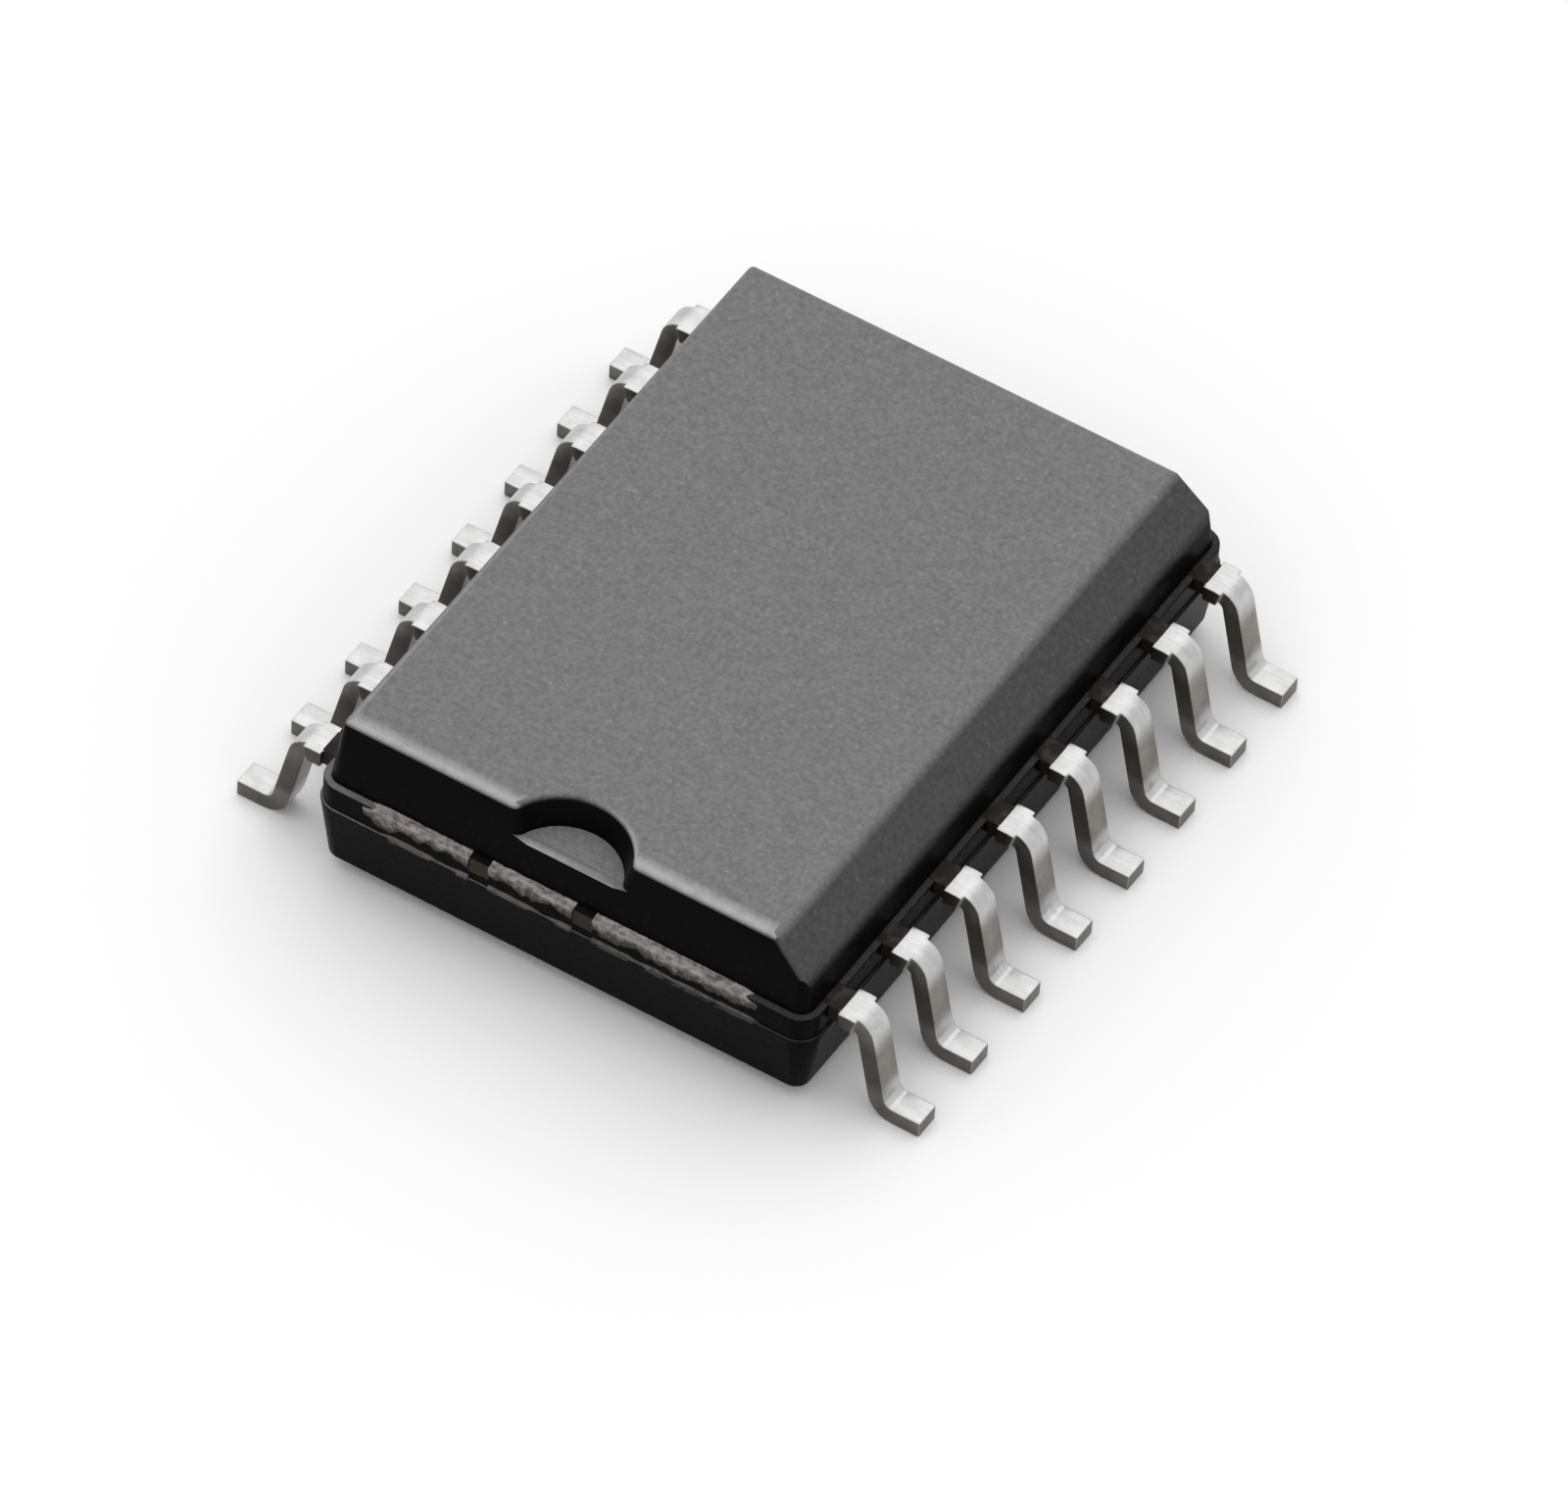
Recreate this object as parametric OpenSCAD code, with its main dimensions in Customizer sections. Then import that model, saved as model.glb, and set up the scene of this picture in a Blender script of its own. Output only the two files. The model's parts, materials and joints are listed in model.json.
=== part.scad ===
// Digital isolator in a 16-lead wide-body small-outline package.
// The seating plane is z = 0, the body's length runs along Y with the notch at +Y,
// pins 1 to 8 leave on the -X side from +Y to -Y, and pins 9 to 16 return on the +X side.

/* [Body] */
// Length of the body at the rim of its lower half
body_l = 10.3; // [10.1:0.05:10.5]
// Width of the body at the rim of its lower half
body_w = 7.5; // [7.4:0.05:7.6]
// Height of the top face above the seating plane
top_z = 2.65; // [2.45:0.05:2.75]
// Gap between the seating plane and the underside of the body
standoff = 0.2; // [0.1:0.05:0.3]
// Height of the parting plane, which is also the top of the lead frame
parting_z = 1.62; // [1.5:0.02:1.7]
// Width of the ledge between the upper half and the parting band
ledge = 0.1; // [0.06:0.02:0.14]
// Height of the upright parting band under the ledge
band_h = 0.38; // [0.32:0.02:0.44]
// Step from the parting band out to the rim of the lower half
rim_step = 0.03; // [0.01:0.01:0.05]
// Mould draft of both halves, in degrees
draft = 8; // [5:0.5:9]
// Plan radius of the rim's corners
corner_r = 0.35; // [0.32:0.01:0.5]

/* [Index features] */
// Leg of the 45 degree chamfer along the pin 1 row
chamfer = 0.45; // [0.25:0.05:0.75]
// Radius of the index notch at the top face
notch_r = 0.92; // [0.7:0.02:1.1]
// Depth of the index notch
notch_depth = 0.44; // [0.3:0.02:0.6]
// Draft of the notch wall, in degrees
notch_draft = 15; // [0:1:20]
// Diameter of the ejector-pin marks in the underside
ejector_d = 1.4; // [0.8:0.1:2]
// Depth of the ejector-pin marks
ejector_depth = 0.05; // [0.02:0.01:0.1]
// Distance between the two ejector-pin marks
ejector_pitch = 5.6; // [4:0.2:7]

/* [Leads] */
// Pitch of the leads
pitch = 1.27; // [1.2:0.01:1.3]
// Toe-to-toe span of the two lead rows
lead_span = 10.3; // [10.1:0.05:10.6]
// Width of a lead
lead_w = 0.4; // [0.32:0.02:0.48]
// Thickness of the lead frame
frame_t = 0.25; // [0.2:0.01:0.3]
// Flat shoulder between the parting band and the first bend
shoulder_l = 0.34; // [0.3:0.02:0.44]
// Inside radius of the shoulder bend
shoulder_r = 0.1; // [0.06:0.01:0.16]
// Inside radius of the foot bend
foot_r = 0.14; // [0.08:0.01:0.2]
// Flat length of a foot
foot_l = 0.4; // [0.3:0.02:0.5]
// Sideways reach of a trimmed dam-bar stub
stub_w = 0.07; // [0.02:0.01:0.12]
// Length of a dam-bar stub along the lead
stub_l = 0.3; // [0.2:0.02:0.36]
// Distance of the dam-bar stub from the parting band
stub_gap = 0.16; // [0.1:0.02:0.2]

/* [Lead fingers] */
// Straight root of a finger inside the mould
root_l = 0.42; // [0.3:0.02:0.5]
// Length of the slanted part of a finger
slant_l = 0.45; // [0.4:0.01:0.5]
// Length of the bonding tip of a finger
tip_l = 0.35; // [0.25:0.01:0.4]
// Width of the bonding tip
tip_w = 0.56; // [0.4:0.02:0.7]
// Share of the lead pitch kept by the tips
tip_fan = 0.9; // [0.88:0.01:1]

/* [Die pads] */
// Gap between the finger tips and the die pads
tip_gap = 0.2; // [0.1:0.02:0.3]
// Length of the die pads
pad_l = 7.6; // [7:0.1:8.2]
// Isolation gap between the two pads
isolation_gap = 0.6; // [0.4:0.05:0.7]
// Offset of the isolation gap towards the secondary side
gap_offset = 0.43; // [0.3:0.01:0.5]
// Width of a tie bar
tie_w = 0.3; // [0.2:0.02:0.4]
// Place of the primary tie bars across the body
primary_tie_x = -0.34; // [-1.5:0.02:-0.2]
// Place of the secondary tie bars across the body
secondary_tie_x = 1.22; // [1.1:0.02:1.8]

/* [Dies] */
// Thickness of the die-attach film
attach_t = 0.03; // [0.02:0.005:0.05]
// Thickness of the dies
die_t = 0.25; // [0.15:0.01:0.3]
// Margin between a die and the edge of its pad
die_margin = 0.15; // [0.1:0.01:0.2]
// Length of the primary and the secondary die
die_l = 5; // [4.6:0.1:5.6]
// Gap between the primary die and the transformer dies
die_gap = 0.21; // [0.15:0.01:0.4]
// Width of a transformer die
transformer_w = 0.82; // [0.7:0.02:0.84]
// Length of a transformer die
transformer_l = 2.2; // [1.8:0.1:2.4]
// Gap between the two transformer dies
transformer_gap = 0.5; // [0.3:0.05:0.8]

/* [Bond wires] */
// Diameter of a bond wire
wire_d = 0.03; // [0.025:0.005:0.05]
// Diameter of a ball bond
ball_d = 0.08; // [0.06:0.01:0.1]
// Height of a ball bond
ball_h = 0.02; // [0.015:0.005:0.03]
// Height of a wire's loop above its ball bond
wire_loop = 0.24; // [0.2:0.01:0.3]
// Inset of a bond from the edge of a die
bond_inset = 0.12; // [0.1:0.01:0.16]
// Wires that reach each transformer die on each side
wires_per_transformer = 4; // [2:1:6]

/* [Hidden] */
$fn = 64;
row_count = 8;
pin_count = 2 * row_count;
half_l = body_l / 2;
half_w = body_w / 2;
taper = tan(draft);

// Levels
frame_z = parting_z - frame_t;
rim_z = parting_z - band_h;
die_z = parting_z + attach_t;
die_top = die_z + die_t;

// Half sizes and corner radii of the parting band, the upper half and its top face
band_x = half_w - rim_step;
band_y = half_l - rim_step;
band_r = corner_r - rim_step;
upper_x = band_x - ledge;
upper_y = band_y - ledge;
upper_r = band_r - ledge;
upper_h = top_z - parting_z;
top_x = upper_x - upper_h * taper;

// Lead profile: the bend centres, and the lean from upright of the shank that runs tangent to both bends
shoulder_x = band_x + shoulder_l;
shoulder_cz = frame_z - shoulder_r;
toe_x = lead_span / 2;
foot_x = toe_x - foot_l;
foot_cz = frame_t + foot_r;
bend_run = foot_x - shoulder_x;
bend_drop = shoulder_cz - foot_cz;
shank_lean = atan2(bend_run, bend_drop) - asin((shoulder_r + frame_t + foot_r) / norm([bend_run, bend_drop]));
bend_steps = 12;
stub_x = band_x + stub_gap;

// Moulded-in finger of a lead: ends of its root, slant and tip
root_x = band_x - root_l;
slant_x = root_x - slant_l;
tip_x = slant_x - tip_l;

// Die pads and dies, measured across the body
pad_x = tip_x - tip_gap;
primary_edge = gap_offset - isolation_gap / 2;
secondary_edge = gap_offset + isolation_gap / 2;
primary_die_w = primary_edge + pad_x - 2 * die_margin - transformer_w - die_gap;
primary_die_x = -pad_x + die_margin + primary_die_w / 2;
transformer_x = primary_edge - die_margin - transformer_w / 2;
transformer_y = (transformer_gap + transformer_l) / 2;
secondary_die_w = pad_x - secondary_edge - 2 * die_margin;
secondary_die_x = secondary_edge + die_margin + secondary_die_w / 2;

// Bond wires: bond pitches along the dies, and how far a cutter reaches past a bonded face
die_bond_pitch = (die_l - 2 * bond_inset) / (row_count - 1);
coil_wire_count = 2 * wires_per_transformer;
driver_bond_pitch = (die_l - 2 * bond_inset) / (coil_wire_count - 1);
coil_bond_pitch = (transformer_l - 2 * bond_inset) / (wires_per_transformer - 1);
wire_sink = ball_h / 2;
cut = 1;

epoxy = [0.16, 0.16, 0.165];
tin = [0.82, 0.82, 0.83];
copper = [0.78, 0.52, 0.36];
silicon = [0.36, 0.38, 0.44];
coil_film = [0.72, 0.55, 0.2];
silver_epoxy = [0.66, 0.66, 0.64];
gold = [0.92, 0.74, 0.3];

// Points along a bend about a centre, from one angle to another
function arc(centre, r, from, to) = [
    for (step = [0 : bend_steps])
        let (angle = from + (to - from) * step / bend_steps)
            centre + r * [cos(angle), sin(angle)]
];
function lead_name(pin) = str("lead_", pin < 10 ? "0" : "", pin);
// Pins count down the -X side and back up the +X side
function side_of(pin) = pin <= row_count ? -1 : 1;
function row_y(index) = ((row_count - 1) / 2 - index) * pitch;
function lead_y(pin) = pin <= row_count ? row_y(pin - 1) : row_y(pin_count - pin);
function die_bond_y(pin) = lead_y(pin) / pitch * die_bond_pitch;
function stitch(pin) = [side_of(pin) * (tip_x + tip_l / 2), lead_y(pin) * tip_fan, parting_z];
// Places along Y of the wires that meet the transformer dies: on the long dies, and on the coils
function driver_bond_y(index) = (index - (coil_wire_count - 1) / 2) * driver_bond_pitch;
function coil_bond_y(index) =
    let (half = floor(index / wires_per_transformer), place = index % wires_per_transformer)
        (2 * half - 1) * transformer_y + (place - (wires_per_transformer - 1) / 2) * coil_bond_pitch;

// A block on z = 0 that narrows upwards by the mould draft, with conical corners
module drafted_block(x, y, r, h) {
    lean = h * taper;
    rotate([90, 0, 0])
        linear_extrude(2 * (y - r), center = true)
            polygon([[-x, 0], [x, 0], [x - lean, h], [lean - x, h]]);
    for (end = [0, 1])
        mirror([0, end, 0])
            rotate([90, 0, 90])
                linear_extrude(2 * (x - r), center = true)
                    polygon([[y - r, 0], [y, 0], [y - lean, h], [y - r, h]]);
    for (mx = [0, 1], my = [0, 1])
        mirror([mx, 0, 0])
            mirror([0, my, 0])
                translate([x - r, y - r, 0])
                    rotate_extrude(angle = 90)
                        polygon([[0, 0], [r, 0], [r - lean, h], [0, h]]);
}

// Upright block with round corners in plan
module upright_block(x, y, r, h) {
    linear_extrude(h) {
        square([2 * x, 2 * (y - r)], center = true);
        square([2 * (x - r), 2 * y], center = true);
        for (mx = [-1, 1], my = [-1, 1])
            translate([mx * (x - r), my * (y - r)]) circle(r);
    }
}

// Side view of a lead from the middle of its root outwards, with x outwards and y up
module lead_profile() {
    shoulder = [shoulder_x, shoulder_cz];
    foot = [foot_x, foot_cz];
    root_mid_x = band_x - root_l / 2;
    polygon(concat(
        [[root_mid_x, parting_z]],
        arc(shoulder, shoulder_r + frame_t, 90, shank_lean),
        arc(foot, foot_r, 180 + shank_lean, 270),
        [[toe_x, frame_t], [toe_x, 0]],
        arc(foot, foot_r + frame_t, 270, 180 + shank_lean),
        arc(shoulder, shoulder_r, shank_lean, 90),
        [[root_mid_x, frame_z]]
    ));
}

// Gull-wing part of a lead on the +X side, centred on y = 0
module gull_wing() {
    rotate([90, 0, 0]) {
        linear_extrude(lead_w, center = true) lead_profile();
        linear_extrude(lead_w + 2 * stub_w, center = true)
            intersection() {
                lead_profile();
                translate([stub_x, 0]) square([stub_l, parting_z]);
            }
    }
}

// Moulded-in finger of a lead on the +X side: straight root out to a given place, slant and bonding tip
module lead_finger(y, out_x) {
    tip_y = y * tip_fan;
    translate([0, 0, frame_z])
        linear_extrude(frame_t)
            polygon([
                [out_x, y - lead_w / 2],
                [out_x, y + lead_w / 2],
                [root_x, y + lead_w / 2],
                [slant_x, tip_y + tip_w / 2],
                [tip_x, tip_y + tip_w / 2],
                [tip_x, tip_y - tip_w / 2],
                [slant_x, tip_y - tip_w / 2],
                [root_x, y - lead_w / 2]
            ]);
}

module to_side(pin) {
    mirror([side_of(pin) < 0 ? 1 : 0, 0, 0]) children();
}

module lead(pin) {
    color(tin)
        to_side(pin) {
            translate([0, lead_y(pin), 0]) gull_wing();
            lead_finger(lead_y(pin), band_x);
        }
}

// Die pad between two edges, with a tie bar out to each end of the parting band
module die_pad(from_x, to_x, tie_x, overrun = 0) {
    translate([0, 0, frame_z])
        linear_extrude(frame_t) {
            translate([from_x, -pad_l / 2]) square([to_x - from_x, pad_l]);
            translate([tie_x - tie_w / 2, -band_y - overrun]) square([tie_w, 2 * (band_y + overrun)]);
        }
}

module primary_pad(overrun = 0) {
    color(copper) die_pad(-pad_x, primary_edge, primary_tie_x, overrun);
}

module secondary_pad(overrun = 0) {
    color(copper) die_pad(secondary_edge, pad_x, secondary_tie_x, overrun);
}

// Rectangular plate centred on a place in plan
module plate(x, y, z, w, l, t) {
    translate([x, y, z + t / 2]) cube([w, l, t], center = true);
}

module primary_die() {
    color(silicon) plate(primary_die_x, 0, die_z, primary_die_w, die_l, die_t);
}

module secondary_die() {
    color(silicon) plate(secondary_die_x, 0, die_z, secondary_die_w, die_l, die_t);
}

// Side 1 is the data transformer, side -1 the power transformer
module transformer_die(side) {
    color(coil_film) plate(transformer_x, side * transformer_y, die_z, transformer_w, transformer_l, die_t);
}

module primary_die_attach() {
    color(silver_epoxy) plate(primary_die_x, 0, parting_z, primary_die_w, die_l, attach_t);
}

module secondary_die_attach() {
    color(silver_epoxy) plate(secondary_die_x, 0, parting_z, secondary_die_w, die_l, attach_t);
}

module transformer_attach(side) {
    color(silver_epoxy) plate(transformer_x, side * transformer_y, parting_z, transformer_w, transformer_l, attach_t);
}

// Ball-bonded wire of square section: it rises from its ball, bends and runs straight down to its stitch.
// A sink sets both ends below the bonded faces, for a cutter.
module bond_wire(ball, end, sink = 0) {
    across = norm([end.x - ball.x, end.y - ball.y]);
    heading = atan2(end.y - ball.y, end.x - ball.x);
    fall = ball.z + wire_loop - end.z;
    slope = atan2(fall, across);
    half = wire_d / 2;
    // Upright thickness of the sloping run, and where the run's two edges meet the rise
    run_t = wire_d / cos(slope);
    outer_z = wire_loop + run_t / 2 + half * tan(slope);
    inner_z = wire_loop - run_t / 2 - half * tan(slope);
    end_z = end.z - ball.z - sink;
    translate(ball)
        rotate(heading) {
            translate([0, 0, -sink]) cylinder(h = ball_h + sink, d = ball_d);
            rotate([90, 0, 0])
                linear_extrude(wire_d, center = true)
                    polygon([
                        [-half, ball_h / 2],
                        [-half, outer_z],
                        [(wire_loop + run_t / 2 - end_z) / tan(slope), end_z],
                        [(wire_loop - run_t / 2 - end_z) / tan(slope), end_z],
                        [half, inner_z],
                        [half, ball_h / 2]
                    ]);
        }
}

// Wires from a row of leads to its die
module lead_wires(first_pin, bond_x, sink = 0) {
    color(gold)
        for (pin = [first_pin : first_pin + row_count - 1])
            bond_wire([bond_x, die_bond_y(pin), die_top], stitch(pin), sink);
}

module primary_lead_wires(sink = 0) {
    lead_wires(1, primary_die_x - primary_die_w / 2 + bond_inset, sink);
}

module secondary_lead_wires(sink = 0) {
    lead_wires(row_count + 1, secondary_die_x + secondary_die_w / 2 - bond_inset, sink);
}

// Wires between the two transformer dies and a long die beside them
module driver_wires(sink = 0) {
    color(gold)
        for (index = [0 : coil_wire_count - 1])
            bond_wire(
                [primary_die_x + primary_die_w / 2 - bond_inset, driver_bond_y(index), die_top],
                [transformer_x - transformer_w / 2 + bond_inset, coil_bond_y(index), die_top],
                sink
            );
}

module isolation_wires(sink = 0) {
    color(gold)
        for (index = [0 : coil_wire_count - 1])
            bond_wire(
                [transformer_x + transformer_w / 2 - bond_inset, coil_bond_y(index), die_top],
                [secondary_die_x - secondary_die_w / 2 + bond_inset, driver_bond_y(index), die_top],
                sink
            );
}

// Epoxy body before the lead frame, dies and wires are taken out of it
module body_block() {
    difference() {
        union() {
            translate([0, 0, parting_z]) drafted_block(upper_x, upper_y, upper_r, upper_h);
            translate([0, 0, rim_z]) upright_block(band_x, band_y, band_r, band_h);
            translate([0, 0, rim_z]) mirror([0, 0, 1]) drafted_block(half_w, half_l, corner_r, rim_z - standoff);
        }
        pin_row_chamfer();
        index_notch();
        ejector_marks();
    }
}

module pin_row_chamfer() {
    translate([chamfer - top_x, 0, top_z])
        rotate([0, -45, 0])
            translate([-body_w / 2, -body_l, 0])
                cube([body_w, 2 * body_l, body_w]);
}

module index_notch() {
    translate([0, half_l, top_z - notch_depth])
        cylinder(
            h = notch_depth + cut,
            r1 = notch_r - notch_depth * tan(notch_draft),
            r2 = notch_r + cut * tan(notch_draft)
        );
}

module ejector_marks() {
    for (side = [-1, 1])
        translate([0, side * ejector_pitch / 2, standoff - cut])
            cylinder(h = cut + ejector_depth, d = ejector_d);
}

// Room for a lead: its finger, and its straight root out through the parting band
module lead_pocket(pin) {
    to_side(pin) lead_finger(lead_y(pin), half_w + cut);
}

// Room for a die and its attach film, which share one outline
module die_pocket(x, y, w, l) {
    plate(x, y, parting_z, w, l, attach_t + die_t);
}

module moulded_body() {
    color(epoxy)
        difference() {
            body_block();
            for (pin = [1 : pin_count]) lead_pocket(pin);
            primary_pad(cut);
            secondary_pad(cut);
            die_pocket(primary_die_x, 0, primary_die_w, die_l);
            die_pocket(secondary_die_x, 0, secondary_die_w, die_l);
            for (side = [-1, 1]) die_pocket(transformer_x, side * transformer_y, transformer_w, transformer_l);
            primary_lead_wires(wire_sink);
            driver_wires(wire_sink);
            isolation_wires(wire_sink);
            secondary_lead_wires(wire_sink);
        }
}

moulded_body();
for (pin = [1 : pin_count])
    lead(pin);
primary_pad();
secondary_pad();
primary_die();
secondary_die();
transformer_die(1);  // data_transformer_die
transformer_die(-1);  // power_transformer_die
primary_die_attach();
secondary_die_attach();
transformer_attach(1);  // data_transformer_attach
transformer_attach(-1);  // power_transformer_attach
primary_lead_wires();
driver_wires();
isolation_wires();
secondary_lead_wires();
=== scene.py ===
"""Looks of a digital isolator in a 16-lead wide-body package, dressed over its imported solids.

Meshes are drawn in millimetres and brought to metres as each piece is placed.
"""
import json
import logging
import math
from abc import ABC, abstractmethod
from collections.abc import Iterable, Sequence
from dataclasses import dataclass, field
from enum import Enum

import bmesh
import bpy
from mathutils import Matrix, Vector, noise


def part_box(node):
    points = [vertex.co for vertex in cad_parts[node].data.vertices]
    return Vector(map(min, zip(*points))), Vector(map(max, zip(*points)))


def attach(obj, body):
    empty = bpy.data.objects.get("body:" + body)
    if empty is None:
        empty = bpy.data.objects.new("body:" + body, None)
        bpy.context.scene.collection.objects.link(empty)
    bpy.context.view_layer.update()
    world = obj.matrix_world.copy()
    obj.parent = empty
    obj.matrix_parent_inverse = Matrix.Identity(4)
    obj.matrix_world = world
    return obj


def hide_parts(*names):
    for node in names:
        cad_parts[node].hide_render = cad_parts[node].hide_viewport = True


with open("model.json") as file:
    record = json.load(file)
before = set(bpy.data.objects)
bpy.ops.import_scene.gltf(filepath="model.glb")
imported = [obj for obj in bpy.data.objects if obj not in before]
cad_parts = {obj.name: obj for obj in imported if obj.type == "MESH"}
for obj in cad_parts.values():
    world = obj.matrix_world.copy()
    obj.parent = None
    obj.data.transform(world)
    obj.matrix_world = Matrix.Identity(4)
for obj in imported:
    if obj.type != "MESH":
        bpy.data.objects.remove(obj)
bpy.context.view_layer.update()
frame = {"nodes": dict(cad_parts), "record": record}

MM = 0.001
PHOTO_WIDTH = 1600
SENSOR_WIDTH = 36.0
SHARP = math.radians(36)
TINY = 1e-5  # slack of a cut, in millimetres
CLOSE = 1e-4  # slack of a place, in millimetres, or of a normal
ROOT = "root"
LOG = logging.getLogger("digital_isolator")

Colour = tuple[float, float, float, float]
Range = tuple[float, float]
Sockets = dict[str | int, object]
Mesh = bmesh.types.BMesh
Face = bmesh.types.BMFace
Edge = bmesh.types.BMEdge
Vert = bmesh.types.BMVert


class Slot(Enum):
    """The record's material slots."""

    MOULD = "mould_compound"
    TIN = "tin_plate"
    COPPER = "lead_frame_copper"
    SILICON = "silicon"
    COIL = "coil_film"
    ATTACH = "die_attach"
    GOLD = "gold_wire"


class Side(Enum):
    """The two lead rows, by the sign of the side that they leave the body on."""

    PRIMARY = -1
    SECONDARY = 1


class Value:
    """A shader socket on which Python's operators add Math nodes."""

    def __init__(self, graph: "Graph", socket: bpy.types.NodeSocket) -> None:
        """Wraps one output socket of a graph."""
        self.graph = graph
        self.socket = socket

    def __add__(self, other: "Value | float") -> "Value":
        """Sum."""
        return self.graph.math("ADD", self, other)

    def __radd__(self, other: float) -> "Value":
        """Sum with a number on the left."""
        return self.graph.math("ADD", other, self)

    def __sub__(self, other: "Value | float") -> "Value":
        """Difference."""
        return self.graph.math("SUBTRACT", self, other)

    def __rsub__(self, other: float) -> "Value":
        """Difference from a number on the left."""
        return self.graph.math("SUBTRACT", other, self)

    def __mul__(self, other: "Value | float") -> "Value":
        """Product."""
        return self.graph.math("MULTIPLY", self, other)

    def __rmul__(self, other: float) -> "Value":
        """Product with a number on the left."""
        return self.graph.math("MULTIPLY", other, self)

    def swing(self, spread: float) -> "Value":
        """The value's distance from one half, times a spread."""
        return (self - 0.5) * spread


class Graph:
    """The node tree of one material or world."""

    def __init__(self, tree: bpy.types.NodeTree) -> None:
        """Takes over a node tree and empties it."""
        self.tree = tree
        tree.nodes.clear()

    def add(
        self,
        kind: str,
        settings: dict[str, object] | None = None,
        sockets: Sockets | None = None,
    ) -> bpy.types.Node:
        """Adds a node.

        Args:
            kind: Blender's type name of the node.
            settings: Properties of the node, set first.
            sockets: Values or links of its inputs, by name or place.

        Returns:
            The new node.
        """
        node = self.tree.nodes.new(kind)
        for name, value in (settings or {}).items():
            setattr(node, name, value)
        for key, value in (sockets or {}).items():
            if isinstance(value, Value):
                self.tree.links.new(value.socket, node.inputs[key])
            else:
                node.inputs[key].default_value = value
        return node

    def out(self, node: bpy.types.Node, key: str | int = 0) -> Value:
        """An output of a node as a value."""
        return Value(self, node.outputs[key])

    def math(self, operation: str, *operands: Value | float) -> Value:
        """A Math node on the given operands."""
        return self.out(self.add("ShaderNodeMath", {"operation": operation}, dict(enumerate(operands))))

    def millimetres(self) -> Value:
        """Object coordinates in millimetres."""
        place = self.out(self.add("ShaderNodeTexCoord"), "Object")
        return self.out(self.add("ShaderNodeVectorMath", {"operation": "SCALE"}, {0: place, "Scale": 1 / MM}))

    def along(self, place: Value, axis: int) -> Value:
        """One coordinate of a vector."""
        return self.out(self.add("ShaderNodeSeparateXYZ", None, {0: place}), axis)

    def stretched(self, place: Value, by: tuple[float, float, float]) -> Value:
        """A vector with each axis multiplied by its own number."""
        return self.out(self.add("ShaderNodeVectorMath", {"operation": "MULTIPLY"}, {0: place, 1: by}))

    def noise(self, place: Value, per_mm: float, detail: float = 3.0) -> Value:
        """Fractal noise between 0 and 1, with a number of lumps per millimetre."""
        sockets = {"Vector": place, "Scale": per_mm, "Detail": detail}
        return self.out(self.add("ShaderNodeTexNoise", None, sockets))

    def ramp(self, value: Value, low: float, high: float, to_low: float = 0.0, to_high: float = 1.0) -> Value:
        """A smooth step of a value from one range to another."""
        sockets = {"Value": value, "From Min": low, "From Max": high, "To Min": to_low, "To Max": to_high}
        return self.out(self.add("ShaderNodeMapRange", {"interpolation_type": "SMOOTHSTEP"}, sockets))

    def blend(self, factor: Value, first: Value | Colour, second: Value | Colour) -> Value:
        """A colour between two colours."""
        sockets = {0: factor, 6: first, 7: second}
        return self.out(self.add("ShaderNodeMix", {"data_type": "RGBA"}, sockets), 2)

    def layer(self, name: str) -> Value:
        """A value that the piece's own mesh carries."""
        return self.out(self.add("ShaderNodeAttribute", {"attribute_name": name}), "Fac")

    def bump(self, height: Value, strength: float, depth_mm: float) -> Value:
        """A normal bent by a height."""
        sockets = {"Strength": strength, "Distance": depth_mm * MM, "Height": height}
        return self.out(self.add("ShaderNodeBump", None, sockets))

    def surface(self, shader: bpy.types.Node) -> None:
        """Sends a shader to a material's output."""
        self.add("ShaderNodeOutputMaterial", None, {"Surface": self.out(shader)})


def grey(level: float, warmth: float = 0.0) -> Colour:
    """A grey of a linear level, a little warm or cool."""
    return (level * (1 + warmth), level, level * (1 - warmth), 1.0)


def unit(value: float) -> float:
    """A number held between 0 and 1."""
    return min(1.0, max(0.0, value))


def new_material(name: str) -> bpy.types.Material:
    """A material with nodes.

    Args:
        name: Its name.

    Returns:
        The material.
    """
    material = bpy.data.materials.new(name)
    material.use_nodes = True
    return material


class Finish(ABC):
    """What a piece is dressed in: one shader whose inputs follow the piece's own coordinates."""

    name: str

    @abstractmethod
    def inputs(self, graph: Graph, place: Value) -> Sockets:
        """The inputs of the shader.

        Args:
            graph: Where their nodes go.
            place: Object coordinates in millimetres.

        Returns:
            Values and numbers by the names of their sockets.
        """

    def make(self) -> bpy.types.Material:
        """Builds the material.

        Returns:
            The material.
        """
        material = new_material(self.name)
        graph = Graph(material.node_tree)
        graph.surface(graph.add("ShaderNodeBsdfPrincipled", None, self.inputs(graph, graph.millimetres())))
        return material


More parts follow.
